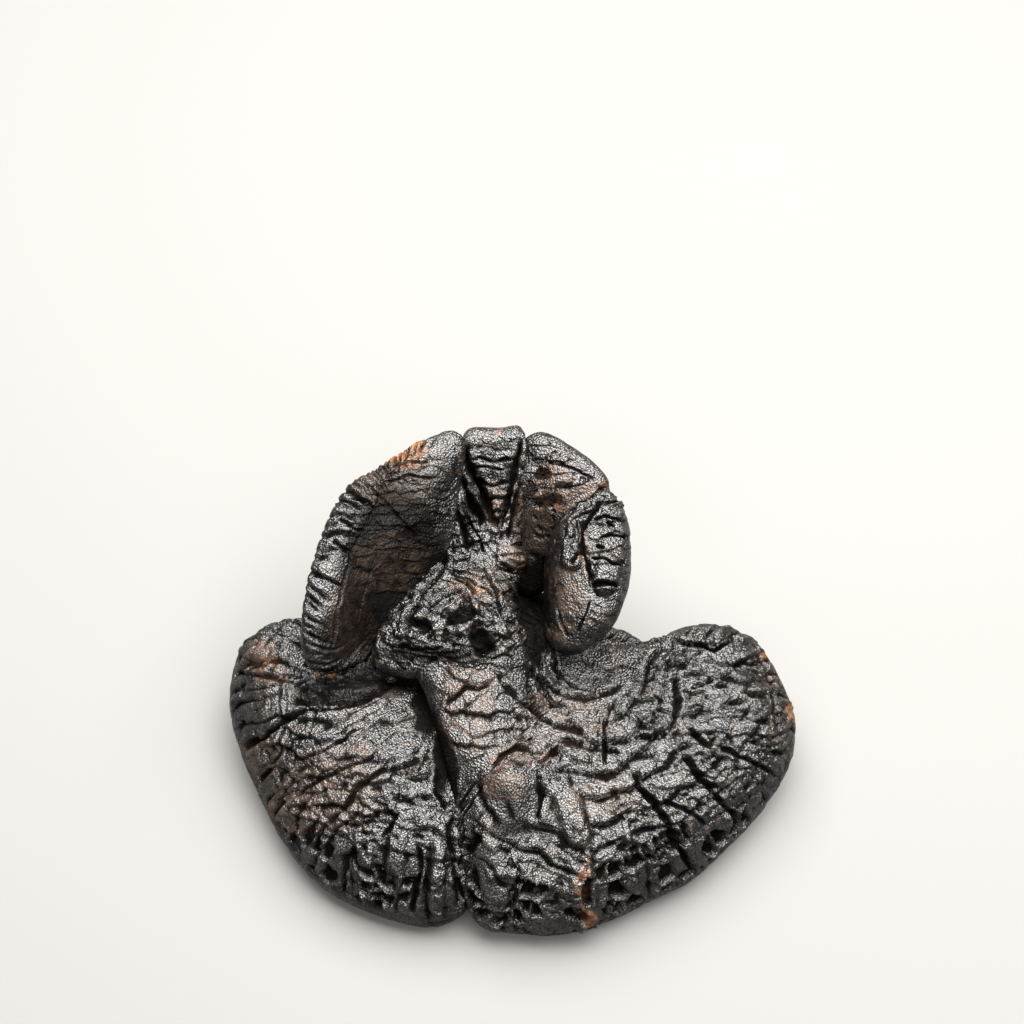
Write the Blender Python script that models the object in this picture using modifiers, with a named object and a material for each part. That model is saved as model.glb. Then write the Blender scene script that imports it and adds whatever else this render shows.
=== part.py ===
# Dried black reishi: one bracket fungus, grown as a rosette of folded lobes on a short stem.
#
# Lengths below are in millimetres and MM turns them into metres; +Z is up. The fungus rests on
# the flat cut of its stem and on the rims of its two front lobes.
#
# Each lobe is a thick leathery sheet. Its middle surface is a fan of ribs that leave one heel
# point near the stem and run over an inner and a shoulder point to the rim. The ribs stand in
# order round the heel, and smooth curves through their matching points fill the gaps.

import math

import bmesh
import bpy
import numpy as np

MM = 0.001
COLLECTION_NAME = "dried_reishi_mushroom"
BODY_NAME = "mushroom"
WELD_DISTANCE = 0.00001
MELT_SIZE = 0.0010
KEPT_FACETS = 0.056
MODEL_CENTRE = (-0.5, 4.7)          # this point of the layout goes to the middle of the base

NOSE_SHARE = 0.55                   # width of the rounded rim, in rim thicknesses
HEEL_BLEND = 0.12                   # share of a rib over which the heel's own normal fades out
RIDGE_FADE = 0.35                   # share of a rib over which the radial ridges rise
RIM_CALM = 0.5                      # share of the radial ridges' height that the rim loses
PILLOW = 0.7                        # below 1, grooves are narrow and what lies between is broad
PILLOW_MEAN = 0.68                  # mean height of a pillow row, taken off so that size is kept

SKIN_COLOUR = (0.016, 0.014, 0.014, 1.0)
SKIN_ROUGHNESS = 0.34

# cells: round the heel, along the top, round the rim, along the underside.
# thick: at the heel and at the rim. inset: how far the rim's middle stays inside the rib tips.
# ridges: height, spacing along the rim, share of a rib where they start.
# rings: height and spacing of the growth rings round the heel.
# ribs: inner, shoulder and rim point of each rib.
# lumps: x, y, z, radius, height. grooves: from x, y, to x, y, width, depth.
FRONT_LEFT = {
    "cells": (170, 18, 6, 6), "thick": (12, 10), "inset": 2.0,
    "ridges": (1.6, 8.5, 0.35), "rings": (0.7, 8.0),
    "heel": (-27, 1, 27),
    "ribs": [
        ((-20, 1, 27), (-16, 0, 28), (-12, -1, 28)),
        ((-22, 7, 28), (-18, 12, 29), (-14, 16, 30)),
        ((-29, 12, 27), (-31, 22, 27), (-33, 30, 27)),
        ((-38, 15, 23), (-50, 27, 24), (-58, 37, 24)),
        ((-47, 14, 22), (-66, 26, 24), (-77, 32.5, 16.5)),
        ((-50, 12, 22), (-71, 23.5, 25), (-84.5, 28, 14)),
        ((-53, 8, 24), (-74, 17, 27.5), (-88.5, 19.5, 11.5)),
        ((-56, 4, 27), (-75, 5, 27), (-88.7, 6, 9)),
        ((-55, -3, 30), (-72.5, -5, 25), (-84.8, -6, 7)),
        ((-53, -10, 31), (-67.5, -16, 23), (-77.5, -20.5, 3.5)),
        ((-49, -16, 31), (-62, -27, 22), (-71, -33, 2.5)),
        ((-43, -22, 31), (-54, -37, 21), (-61, -47, 1.5)),
        ((-38, -27, 30), (-44, -44, 21), (-48, -55.5, 0.5)),
        ((-31, -29, 29), (-31, -48, 21), (-31, -61.5, 0)),
        ((-25, -28, 27), (-23, -49, 20), (-21, -61.5, 0)),
        ((-21, -25, 26), (-17.5, -46, 18), (-15, -57.5, 2)),
        ((-20, -18, 26), (-16, -36, 18), (-12, -46, 9)),
        ((-21, -10, 26), (-17, -20, 23), (-12, -28, 17)),
        ((-21, -4, 27), (-17, -8, 26), (-12, -11, 25)),
    ],
    "lumps": [(-79, 21, 27, 9, 2), (-42, -18, 35, 12, 1.5), (-60, -14, 32, 7, 1)],
    "grooves": [(-83, -10, -71, -6, 3, 2.5), (-71, -6, -48, -3, 3, 2), (-79, -21, -72, -16, 2.5, 2),
                (-71, 6, -42, -2, 5, 3), (-17, -43, -17, -60, 2, 2.5), (-26, -41, -29, -62, 2, 2),
                (-33, -48, -34, -60, 2, 1.5), (-46, -39, -51, -54, 2, 2),
                (-22, -23, -20, -34, 2, 2), (-20, -34, -17, -48, 2, 2)],
}

FRONT_RIGHT = {
    "cells": (200, 22, 6, 6), "thick": (12, 10), "inset": 2.0,
    "ridges": (1.3, 8.0, 0.5), "rings": (1.3, 8.5),
    "heel": (25, 14, 31),
    "ribs": [
        ((47, 8, 33), (74, 0, 29.5), (88, -2, 8)),
        ((47, 12, 32), (73, 8, 27.5), (86.8, 9.5, 11.5)),
        ((46, 14, 31), (70, 13.5, 31), (80.8, 19.5, 17.5)),
        ((44, 15, 30), (65, 17.5, 32.5), (72.5, 26.3, 22)),
        ((42, 16, 29), (58, 18.5, 33.5), (62, 27.3, 26)),
        ((39, 17, 28), (51, 18, 32), (53, 26, 28)),
        ((36, 19, 27), (43, 19, 29), (46, 21, 28)),
        ((30, 20, 28), (34, 24, 28), (37, 28, 28)),
        ((24, 19, 29), (23, 25, 30), (22, 31, 31)),
        ((17, 18, 32), (8, 24, 35), (0, 27, 37)),
        ((12, 16, 35), (-4, 19, 41), (-16, 20, 42)),
        ((9, 12, 35), (-10, 9, 43), (-24, 7, 42)),
        ((9, 6, 34), (-9, -1, 42), (-23.5, -6, 39)),
        ((10, 0, 33), (-8, -13, 38), (-22, -22, 31)),
        ((12, -7, 32), (-6, -27, 31), (-17.5, -40, 19)),
        ((14, -13, 32), (-4, -42, 28.5), (-14, -54, 8)),
        ((16, -17, 31), (-1, -50, 23.5), (-9.5, -62.5, 1.5)),
        ((19, -19, 31), (5, -51, 22.5), (-0.5, -64, 0)),
        ((22, -21, 31), (14, -52, 21.5), (11.5, -64.5, 0)),
        ((25, -21, 31), (23, -50, 21.5), (23.5, -62, 0)),
        ((30, -20, 32), (35, -44, 22.5), (39, -55, 0.5)),
        ((35, -17, 32), (47, -37.5, 22.5), (53.5, -48, 1)),
        ((39, -13, 33), (56.5, -29.5, 23.5), (65.5, -37, 2)),
        ((43, -7, 33), (65, -20, 24.5), (76.5, -25.5, 3.5)),
        ((46, 0, 33), (71.5, -9.5, 27.5), (85, -13, 6.5)),
    ],
    "lumps": [(-1, -30, 34, 5, 4), (17, -36, 31, 4, 3), (19, -45, 28, 4, 2), (27, 6, 36, 15, -2),
              (62, 10, 36, 9, 1.5), (-1, -39, 30, 4, -2.5)],
    "grooves": [(37, -23, 43, -35, 2.5, 2.5), (43, -35, 56, -49, 2.5, 2), (52, -20, 70, -36, 2.5, 2),
                (50, 12, 50, -6, 3, 2.5), (50, -6, 38, -14, 3, 2.5), (17, -54, 19, -68, 2.5, 2),
                (-6, 5, 8, -10, 2, 1.5), (8, -10, 23, -14, 2, 1.5), (-2, 10, 13, 1, 2, 1.5),
                (13, 1, 31, 2, 2, 1.5)],
}

LEFT_FOLD = {
    "cells": (130, 14, 5, 5), "thick": (11, 8), "inset": 1.5,
    "ridges": (0.9, 6.0, 0.6), "rings": (0.4, 9.0),
    "heel": (-38, 43, 60.5),
    "ribs": [
        ((-31, 51, 64), (-23, 61.5, 69.5), (-15, 73, 72.5)),
        ((-34, 52, 65.5), (-28, 61.5, 70.5), (-22.5, 72.5, 71.5)),
        ((-37, 52, 66), (-34.5, 60.5, 69.5), (-31.5, 67.8, 69)),
        ((-40, 50, 66), (-41.5, 56, 69), (-42.5, 61, 67.5)),
        ((-43, 47, 65.5), (-48, 50, 69), (-52, 53.5, 67)),
        ((-45, 43, 64.5), (-51.5, 42, 67), (-58.5, 41, 64)),
        ((-46, 39, 62.5), (-54, 33, 64), (-62.5, 28.5, 60)),
        ((-46, 36, 60), (-56, 23, 59.5), (-65, 15, 55)),
        ((-46, 33, 58), (-57, 16, 54.5), (-65, 6.5, 48.5)),
        ((-44, 32, 55), (-54, 14, 47), (-61, 2.5, 41.5)),
        ((-42, 32, 52), (-47, 20, 42), (-51, 9, 33)),
        ((-39, 34, 51), (-40, 26, 41), (-42, 18, 33)),
        ((-36, 37, 51.5), (-34, 32, 43), (-33, 27, 34)),
        ((-34, 40, 53), (-29, 38, 46), (-25, 36, 38)),
        ((-33, 43, 56), (-27, 44, 51), (-22, 44, 45)),
        ((-32, 46, 59), (-25, 50, 56), (-18, 54, 54)),
        ((-31, 49, 62), (-23, 56, 62), (-15.5, 63, 62)),
    ],
    "lumps": [(-50, 32, 56, 12, -1.5), (-31, 70, 70, 3, 4)],
    "grooves": [],
}

MIDDLE_FOLD = {
    "cells": (120, 16, 4, 4), "thick": (12, 8), "inset": 1.0,
    "ridges": (1.6, 7.0, 0.1), "rings": (1.0, 6.5),
    "heel": (-12, 25, 48),
    "ribs": [
        ((-9, 46, 48), (-6, 63.5, 61), (-4.5, 75.5, 73)),
        ((-12, 45, 48), (-13, 62.5, 61), (-14.5, 74.5, 72.5)),
        ((-14, 42, 48), (-16, 56, 55), (-17, 66, 63)),
        ((-15, 39, 48), (-17, 47, 49), (-19, 54, 54)),
        ((-18, 33, 48), (-21, 38, 46), (-24, 43, 45)),
        ((-22, 29, 47), (-29, 30, 43), (-35, 30, 40)),
        ((-24, 23, 47), (-34, 19, 42), (-43, 15, 36)),
        ((-23, 20, 47), (-33, 13, 41), (-42, 8, 34)),
        ((-20, 17, 48), (-26, 9, 43), (-31, 4, 36)),
        ((-15, 15, 49), (-18, 7, 46), (-20, 1, 38)),
        ((-10, 15, 49), (-9, 6, 46), (-8, -1, 38)),
        ((-6, 18, 48), (-1, 9, 44), (2, 3, 35)),
        ((-5, 21, 48), (-0.5, 15, 43), (2, 11, 34)),
        ((-6, 25, 47.5), (-2, 24, 42), (-0.5, 23, 33)),
        ((-6, 29, 47), (-3, 31, 42), (-1, 33, 34)),
        ((-6, 35, 46), (-2, 42, 46), (0, 47, 45)),
        ((-6, 41, 46), (-1, 52, 53), (2, 59, 57)),
        ((-7, 45, 48), (0, 61.5, 61), (4, 74.5, 72)),
    ],
    "lumps": [(-30, 15, 48, 7, 2), (-13, 6, 50, 6, 1.5), (-12, 26, 55, 8, 1), (-20, 19, 48, 3, -2)],
    "grooves": [(-15, 68, -5, 51, 2, 4), (3, 71, -4, 51, 2, 3), (-40, 15, -26, 12, 1.5, 2),
                (-26, 12, -19, 12, 1.5, 2)],
}

RIGHT_FOLD = {
    "cells": (90, 12, 5, 4), "thick": (10, 8), "inset": 1.5,
    "ridges": (1.2, 7.0, 0.5), "rings": (0.7, 7.0),
    "heel": (16.5, 60, 66.5),
    "ribs": [
        ((12, 63.5, 66), (6.5, 68, 66), (1.5, 72, 64)),
        ((12, 61, 64.5), (5.5, 63, 62), (0, 65, 57)),
        ((12.5, 58, 63), (5, 53.5, 53), (-3, 43, 38)),
        ((14, 56, 63), (8.5, 48.5, 51), (4, 37.5, 31)),
        ((16, 55, 63.5), (13.5, 49, 53), (13, 41, 34)),
        ((18.5, 55.5, 64), (20.5, 52, 60), (20.5, 48, 51)),
        ((20, 57, 65.5), (25, 54, 63), (28, 52.5, 59)),
        ((21, 58.5, 66.5), (27, 57, 65.5), (31.5, 56, 63)),
        ((20.5, 60.5, 67), (25, 60.5, 67), (28.5, 60.5, 65)),
        ((19.5, 62.5, 67.5), (22, 64.5, 67.5), (24, 65.5, 66)),
        ((17, 64, 67.5), (17.5, 67.5, 68), (17.5, 70.5, 66.5)),
        ((15, 65, 67.5), (13, 69.5, 68.5), (11, 74, 67.5)),
        ((12.5, 65, 67), (8.5, 70.5, 69), (5, 75, 70)),
    ],
    "lumps": [],
    "grooves": [(31, 56, 19, 49, 1.5, 2.5), (19, 49, 14, 38, 1.5, 2.5)],
}

EAR = {
    "cells": (110, 14, 5, 5), "thick": (10, 9), "inset": 1.0,
    "ridges": (1.6, 9.0, 0.4), "rings": (1.2, 8.0),
    "heel": (24.5, 36, 60.5),
    "ribs": [
        ((25, 43, 61), (24, 51, 61.5), (22.5, 58, 60)),
        ((22.5, 42, 60.5), (19, 48, 58.5), (15.5, 52, 49)),
        ((21, 39, 60.5), (17.5, 41.5, 57.5), (14, 43, 43)),
        ((20.5, 35.5, 60), (17, 35, 56.5), (13.5, 34.5, 40)),
        ((20.5, 31.5, 59), (16.5, 28.5, 54.5), (13, 25.5, 38)),
        ((21, 28.5, 58), (17, 21.5, 52), (13, 17, 38)),
        ((22.5, 26.5, 57.5), (19.5, 17.5, 51.5), (15.5, 10.5, 40)),
        ((25, 26, 57.5), (23.5, 17, 52), (21, 10, 42)),
        ((27, 27, 58), (27.5, 19, 53.5), (26.5, 14, 46)),
        ((29, 30, 58.5), (30.5, 25, 55.5), (30.5, 22, 49)),
        ((30, 33.5, 59), (32, 33.5, 57), (33, 33.5, 51)),
        ((30, 38.5, 60), (32, 43, 59), (32.7, 46, 54.5)),
        ((29.5, 42, 60.5), (30.5, 48.5, 61), (30.7, 54, 58)),
        ((27.5, 43, 61), (27.5, 51, 62.5), (27, 59, 62)),
    ],
    "lumps": [(26, 40, 64, 5, 1), (30, 28, 61, 5, 1), (24, 14, 56, 5, 1)],
    "grooves": [(27, 54, 23, 41, 1.5, 2.5), (23, 41, 24, 24, 1.5, 2.5), (25, 46, 35, 47, 1.5, 2),
                (24, 40, 35, 43, 1.5, 2), (24, 32, 35, 33, 1.5, 2), (24, 26, 34, 28, 1.5, 2)],
}

# The stem flares from its flat cut into the core that carries every lobe.
# rings: centre x, centre y, height, half width in x, half width in y.
STEM = {
    "cells": (64, 32),
    "rings": [(5, 22, 0, 17, 16), (5, 22, 5, 15, 14), (3, 21, 14, 17, 15), (-2, 20, 21, 29, 24),
              (-3, 24, 25, 28, 22), (-9, 27, 31, 20, 16), (-12, 29, 40, 12, 10), (-12, 30, 47, 6, 5)],
}

LOBES = {
    "front_left_lobe": FRONT_LEFT,
    "front_right_lobe": FRONT_RIGHT,
    "left_fold": LEFT_FOLD,
    "middle_fold": MIDDLE_FOLD,
    "right_fold": RIGHT_FOLD,
    "ear_fold": EAR,
}


def clear_scene():
    """Take away whatever the start-up file holds."""
    for obj in list(bpy.data.objects):
        bpy.data.objects.remove(obj, do_unlink=True)


def make_collection(name):
    """Return a new collection that hangs under the scene's own."""
    collection = bpy.data.collections.new(name)
    bpy.context.scene.collection.children.link(collection)
    return collection


def make_material(name, colour, roughness):
    """Return a plain lacquer-like material."""
    material = bpy.data.materials.new(name)
    material.use_nodes = True
    shader = material.node_tree.nodes["Principled BSDF"]
    shader.inputs["Base Color"].default_value = colour
    shader.inputs["Roughness"].default_value = roughness
    shader.inputs["Metallic"].default_value = 0.0
    return material


def smooth_ramp(value):
    """Rise smoothly from 0 to 1 as the value goes from 0 to 1."""
    value = np.clip(value, 0.0, 1.0)
    return value * value * (3.0 - 2.0 * value)


def spline(points, t, closed):
    """Read a Catmull-Rom curve through the points at t, which counts in points."""
    if closed:
        padded = np.concatenate([points[-1:], points, points[:2]])
        last = len(points) - 1
    else:
        before = 2 * points[:1] - points[1:2]
        after = 2 * points[-1:] - points[-2:-1]
        padded = np.concatenate([before, points, after])
        last = len(points) - 2
    start = np.clip(np.floor(t).astype(int), 0, last)
    f = (t - start).reshape((-1,) + (1,) * (points.ndim - 1))
    a, b, c, d = (padded[start + k] for k in range(4))
    return 0.5 * (2 * b + (c - a) * f + (2 * a - 5 * b + 4 * c - d) * f**2
                  + (3 * b - a - 3 * c + d) * f**3)


def along_ribs(ribs, s):
    """Read a Catmull-Rom curve along each rib's four points at s, and its slope."""
    before = 2 * ribs[:, :1] - ribs[:, 1:2]
    after = 2 * ribs[:, -1:] - ribs[:, -2:-1]
    padded = np.concatenate([before, ribs, after], axis=1)
    start = np.clip(np.floor(3 * s).astype(int), 0, 2)
    f = (3 * s - start)[..., None]
    a, b, c, d = (np.take_along_axis(padded, (start + k)[..., None], axis=1) for k in range(4))
    linear, square, cube = c - a, 2 * a - 5 * b + 4 * c - d, 3 * b - a - 3 * c + d
    value = 0.5 * (2 * b + linear * f + square * f**2 + cube * f**3)
    slope = 1.5 * (linear + 2 * square * f + 3 * cube * f**2)
    return value, slope


def even_steps(net, count):
    """Return count places round the heel, evenly spaced along the rim, and the rim's length."""
    t = np.linspace(0, len(net), 1500, endpoint=False)
    rim = spline(net, t, True)[:, 3]
    gaps = np.linalg.norm(np.roll(rim, -1, axis=0) - rim, axis=1)
    travelled = np.concatenate([[0], np.cumsum(gaps)])
    t = np.append(t, len(net))
    steps = np.linspace(0, travelled[-1], count, endpoint=False)
    return np.interp(steps, travelled, t), travelled[-1]


def sheet_point(net, t, s):
    """Return the middle surface at place t round the heel and s along a rib.

    The upward normal and the rib's own direction come with it, and how fast s travels there.
    """
    step = 0.05
    point, outward = along_ribs(spline(net, t, True), s)
    ahead = along_ribs(spline(net, (t + step) % len(net), True), s)[0]
    behind = along_ribs(spline(net, (t - step) % len(net), True), s)[0]
    normal = np.cross(outward, ahead - behind)
    normal /= np.linalg.norm(normal, axis=2, keepdims=True) + 1e-9
    heel_normal = normal[:, 1].mean(axis=0)
    heel_normal /= np.linalg.norm(heel_normal)
    share = smooth_ramp(s / HEEL_BLEND)[..., None]
    normal = heel_normal * (1 - share) + normal * share
    normal /= np.linalg.norm(normal, axis=2, keepdims=True)
    speed = np.linalg.norm(outward, axis=2)
    return point, normal, outward / speed[..., None], speed


def profile(lobe, tip_speed):
    """Return s and the side (+1 top, -1 underside) of each row, from top pole to bottom pole."""
    _, top, nose, under = lobe["cells"]
    end = 1 - lobe["inset"] / tip_speed
    width = np.minimum(NOSE_SHARE * lobe["thick"][1] / tip_speed, 0.4)
    angle = np.linspace(0, math.pi, nose + 2)[None, 1:-1]
    flat = (end - width)[:, None]
    s = np.concatenate([np.linspace(0, 1, top + 1)[None] * flat,
                        flat + width[:, None] * np.sin(angle),
                        np.linspace(1, 0, under + 1)[None] * flat], axis=1)
    side = np.concatenate([np.ones(top + 1), np.cos(angle[0]), -np.ones(under + 1)])
    return s, np.broadcast_to(side, s.shape)


def pillows(distance, spacing):
    """Return broad pillows with narrow grooves between them, about a mean of zero."""
    return np.abs(np.sin(math.pi * distance / spacing)) ** PILLOW - PILLOW_MEAN


def distance_to_line(point, line):
    """Return the distance in plan from each point to a straight stretch."""
    start, end = np.array(line[:2]), np.array(line[2:4])
    along = end - start
    share = np.clip((point[..., :2] - start) @ along / (along @ along), 0, 1)
    return np.linalg.norm(point[..., :2] - start - share[..., None] * along, axis=-1)


def relief(lobe, point, s, rim_length, rib_length):
    """Return how far the skin stands out: radial ridges, growth rings, lumps and grooves."""
    high, spacing, start = lobe["ridges"]
    count = round(rim_length / spacing)
    arc = np.arange(len(s))[:, None] / len(s) * count * spacing
    sway = 0.25 * spacing * np.sin(9 * s + arc / 13)
    height = high * pillows(arc + sway * smooth_ramp(3 * (1 - s)), spacing)
    height = height * smooth_ramp((s - start) / RIDGE_FADE) * (1 - RIM_CALM * smooth_ramp(8 * s - 7))
    high, spacing = lobe["rings"]
    wave = spacing * 0.2 * np.sin(2 * math.pi * arc / arc.max() * 5)
    height = height + high * pillows(s * rib_length + wave, spacing) * smooth_ramp(4 * s)
    for x, y, z, radius, rise in lobe["lumps"]:
        distance = np.linalg.norm(point - np.array((x, y, z)), axis=2)
        height = height + rise * np.exp(-(distance / radius) ** 2)
    for *line, width, depth in lobe["grooves"]:
        height = height - depth * np.exp(-(distance_to_line(point, line) / width) ** 2)
    return height


def shape_grid(name, cells_round, cells_along, place):
    """Bend a grid round into a closed skin: place() maps its columns and rows to points."""
    mesh_builder = bmesh.new()
    bmesh.ops.create_grid(mesh_builder, x_segments=cells_round, y_segments=cells_along, size=1.0)
    mesh_builder.verts.ensure_lookup_table()
    flat = np.array([vertex.co[:2] for vertex in mesh_builder.verts])
    column = np.rint((flat[:, 0] + 1) / 2 * cells_round).astype(int)
    row = np.rint((flat[:, 1] + 1) / 2 * cells_along).astype(int)
    points = place()[column % cells_round, row]
    points = (points - np.array((*MODEL_CENTRE, 0.0))) * MM
    for vertex, point in zip(mesh_builder.verts, points):
        vertex.co = point
    bmesh.ops.remove_doubles(mesh_builder, verts=mesh_builder.verts, dist=WELD_DISTANCE)
    bmesh.ops.recalc_face_normals(mesh_builder, faces=mesh_builder.faces)
    bmesh.ops.triangulate(mesh_builder, faces=mesh_builder.faces)
    mesh = bpy.data.meshes.new(name)
    mesh_builder.to_mesh(mesh)
    mesh_builder.free()
    return bpy.data.objects.new(name, mesh)


def make_lobe(name, lobe):
    """Make one lobe: a sheet with a thickness and a rounded rim, never below the ground."""
    net = np.array([(lobe["heel"],) + rib for rib in lobe["ribs"]], dtype=float)

    def place():
        t, rim_length = even_steps(net, lobe["cells"][0])
        speed = sheet_point(net, t, np.linspace(0, 1, 9)[None] + 0 * t[:, None])[3]
        s, side = profile(lobe, speed[:, -1])
        point, normal, outward, _ = sheet_point(net, t, s)
        at_heel, at_rim = lobe["thick"]
        half = 0.5 * (at_heel + (at_rim - at_heel) * s)
        point = point + normal * (half * side)[..., None]
        skin = normal * side[..., None] + outward * np.sqrt(1 - side**2)[..., None]
        height = relief(lobe, point, s, rim_length, speed.mean()) * smooth_ramp((side + 1) / 1.2)
        point = point + skin * height[..., None]
        point[:, 0] = point[:, 0].mean(axis=0)
        point[:, -1] = point[:, -1].mean(axis=0)
        point[..., 2] = np.maximum(point[..., 2], 0)
        return point

    return shape_grid(name, lobe["cells"][0], sum(lobe["cells"][1:]) + 1, place)


def make_stem(name, stem):
    """Make the stem: rings of changing size from the flat cut up to the core's rounded top."""
    around, along = stem["cells"]
    rings = np.array(stem["rings"], dtype=float)

    def place():
        angle = np.linspace(0, 2 * math.pi, around, endpoint=False)[:, None]
        x, y, z, half_x, half_y = spline(rings, np.linspace(0, len(rings) - 1, along + 1), False).T
        skin = np.stack([x + half_x * np.cos(angle), y + half_y * np.sin(angle),
                         z + 0 * angle], axis=-1)
        low = np.broadcast_to(rings[0, :3], (around, 1, 3))
        high = np.broadcast_to(rings[-1, :3] + (0, 0, 1), (around, 1, 3))
        return np.concatenate([low, skin, high], axis=1)

    return shape_grid(name, around, along + 2, place)


def join_lobe(body, lobe):
    """Grow the body together with a lobe. The lobes fold on themselves, so MANIFOLD joins them."""
    union = body.modifiers.new("join_" + lobe.name, "BOOLEAN")
    union.operation = "UNION"
    union.solver = "MANIFOLD"
    union.object = lobe


def islands(mesh_builder):
    """Return the faces of each connected skin, the largest first."""
    left = set(mesh_builder.faces)
    found = []
    while left:
        front = [left.pop()]
        skin = list(front)
        while front:
            face = front.pop()
            edges = [edge for edge in face.edges if len(edge.link_faces) == 2]
            near = {other for edge in edges for other in edge.link_faces} & left
            left -= near
            front.extend(near)
            skin.extend(near)
        found.append(skin)
    return sorted(found, key=len, reverse=True)


def even_out(body):
    """Melt the seams of the union together, then keep only the facets that the form needs."""
    melt = body.modifiers.new("melt_seams", "REMESH")
    melt.mode = "VOXEL"
    melt.voxel_size = MELT_SIZE
    thin_out = body.modifiers.new("thin_out", "DECIMATE")
    thin_out.ratio = KEPT_FACETS


def fuse(body):
    """Turn the joined lobes into one mesh, without the small closed pockets between them."""
    graph = bpy.context.evaluated_depsgraph_get()
    mesh = bpy.data.meshes.new_from_object(body.evaluated_get(graph))
    mesh_builder = bmesh.new()
    mesh_builder.from_mesh(mesh)
    for pocket in islands(mesh_builder)[1:]:
        bmesh.ops.delete(mesh_builder, geom=pocket, context="FACES")
    bmesh.ops.triangulate(mesh_builder, faces=mesh_builder.faces)
    mesh_builder.to_mesh(mesh)
    mesh_builder.free()
    body.modifiers.clear()
    body.data = mesh


def build():
    """Make the whole fungus."""
    clear_scene()
    collection = make_collection(COLLECTION_NAME)
    body = make_stem(BODY_NAME, STEM)
    body.data.materials.append(make_material("black_skin", SKIN_COLOUR, SKIN_ROUGHNESS))
    collection.objects.link(body)

    lobes = [make_lobe(name, lobe) for name, lobe in LOBES.items()]
    for lobe in lobes:
        collection.objects.link(lobe)
        join_lobe(body, lobe)
    even_out(body)
    fuse(body)
    for lobe in lobes:
        bpy.data.objects.remove(lobe)


build()
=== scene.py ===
import math

import bpy
import numpy as np
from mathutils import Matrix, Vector


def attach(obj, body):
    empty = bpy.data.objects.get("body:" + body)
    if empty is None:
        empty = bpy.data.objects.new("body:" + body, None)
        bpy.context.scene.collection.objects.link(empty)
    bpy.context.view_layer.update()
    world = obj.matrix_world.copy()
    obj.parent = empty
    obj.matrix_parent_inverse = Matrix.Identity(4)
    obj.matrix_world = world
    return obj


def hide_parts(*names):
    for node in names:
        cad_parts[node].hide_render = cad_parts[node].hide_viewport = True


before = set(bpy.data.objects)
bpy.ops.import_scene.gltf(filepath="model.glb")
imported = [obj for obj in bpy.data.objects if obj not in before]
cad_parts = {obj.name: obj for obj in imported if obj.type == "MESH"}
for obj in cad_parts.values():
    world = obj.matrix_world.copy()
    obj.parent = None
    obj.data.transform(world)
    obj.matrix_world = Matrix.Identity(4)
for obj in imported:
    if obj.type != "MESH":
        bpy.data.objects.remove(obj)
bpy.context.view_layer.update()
print("frame loaded")

# Lengths are millimetres of a layout whose point layoutCentre stands over the middle of the
# fungus's base. Traced lines and spots are given where the photograph shows them, in pixels of
# its 1024 x 1024 frame.
mm = 0.001
layoutCentre = np.array([-0.5, 4.7, 0.0])
photoView = {
    "pixels": 1024, "lens": 70.0, "sensor": 36.0, "elevation": math.radians(55),
    "target": np.array([0.0, 72.0, 30.0]), "distance": 659.3,
}
pixelsPerMm = 3.02   # at the middle of the fungus


def onPhoto(point):
    # pinhole formula: offset across and up the view, times lens over sensor, over the depth
    rise = photoView["elevation"]
    back = np.array([0.0, -math.cos(rise), math.sin(rise)])
    up = np.array([0.0, math.sin(rise), math.cos(rise)])
    offset = point - (photoView["target"] + back * photoView["distance"])
    scale = photoView["pixels"] * photoView["lens"] / photoView["sensor"] / (offset @ -back)
    middle = photoView["pixels"] / 2
    return np.stack([middle + offset[..., 0] * scale, middle - (offset @ up) * scale], axis=-1)


# tables of chance for the noises, drawn in this order
dice = np.random.default_rng(11)
shuffled = np.tile(dice.permutation(256), 2)
slopes = dice.normal(size=(256, 3))
slopes /= np.linalg.norm(slopes, axis=1, keepdims=True)
scatter = dice.random((256, 3))


def ramp(value):
    # 3v^2 - 2v^3 between 0 and 1
    value = np.clip(value, 0.0, 1.0)
    return value * value * (3.0 - 2.0 * value)


def band(value, low, high, fade):
    # 1 between low and high, fading to 0 over the given width outside
    return ramp((value - low) / fade + 1) * ramp((high - value) / fade + 1)


def cornerIndex(x, y, z):
    # a number from 0 to 255 for each whole corner, from the shuffled table three times over
    return shuffled[shuffled[shuffled[x & 255] + (y & 255)] + (z & 255)]


def softNoise(x, y, z, around=None):
    # gradient noise: slopes at the corners of unit cells, blended with 6t^5 - 15t^4 + 10t^3;
    # x repeats after "around" cells
    x, y, z = np.broadcast_arrays(x, y, z)
    low = [np.floor(v).astype(np.int64) for v in (x, y, z)]
    part = [v - f for v, f in zip((x, y, z), low)]
    blend = [t * t * t * (t * (t * 6 - 15) + 10) for t in part]
    total = np.zeros(x.shape)
    for i in (0, 1):
        column = low[0] + i
        if around:
            column = column % around
        for j in (0, 1):
            for k in (0, 1):
                slope = slopes[cornerIndex(column, low[1] + j, low[2] + k)]
                reach = (slope[..., 0] * (part[0] - i) + slope[..., 1] * (part[1] - j)
                         + slope[..., 2] * (part[2] - k))
                weight = ((blend[0] if i else 1 - blend[0]) * (blend[1] if j else 1 - blend[1])
                          * (blend[2] if k else 1 - blend[2]))
                total += weight * reach
    return 1.6 * total


def layeredNoise(point, size, shift=(0, 0, 0)):
    # two gradient noises added, of the given cell size in mm and of half of it, half as high
    x, y, z = (point[..., axis] / size + shift[axis] for axis in range(3))
    return softNoise(x, y, z) + softNoise(2 * x, 2 * y, 2 * z + 17) / 2


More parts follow.
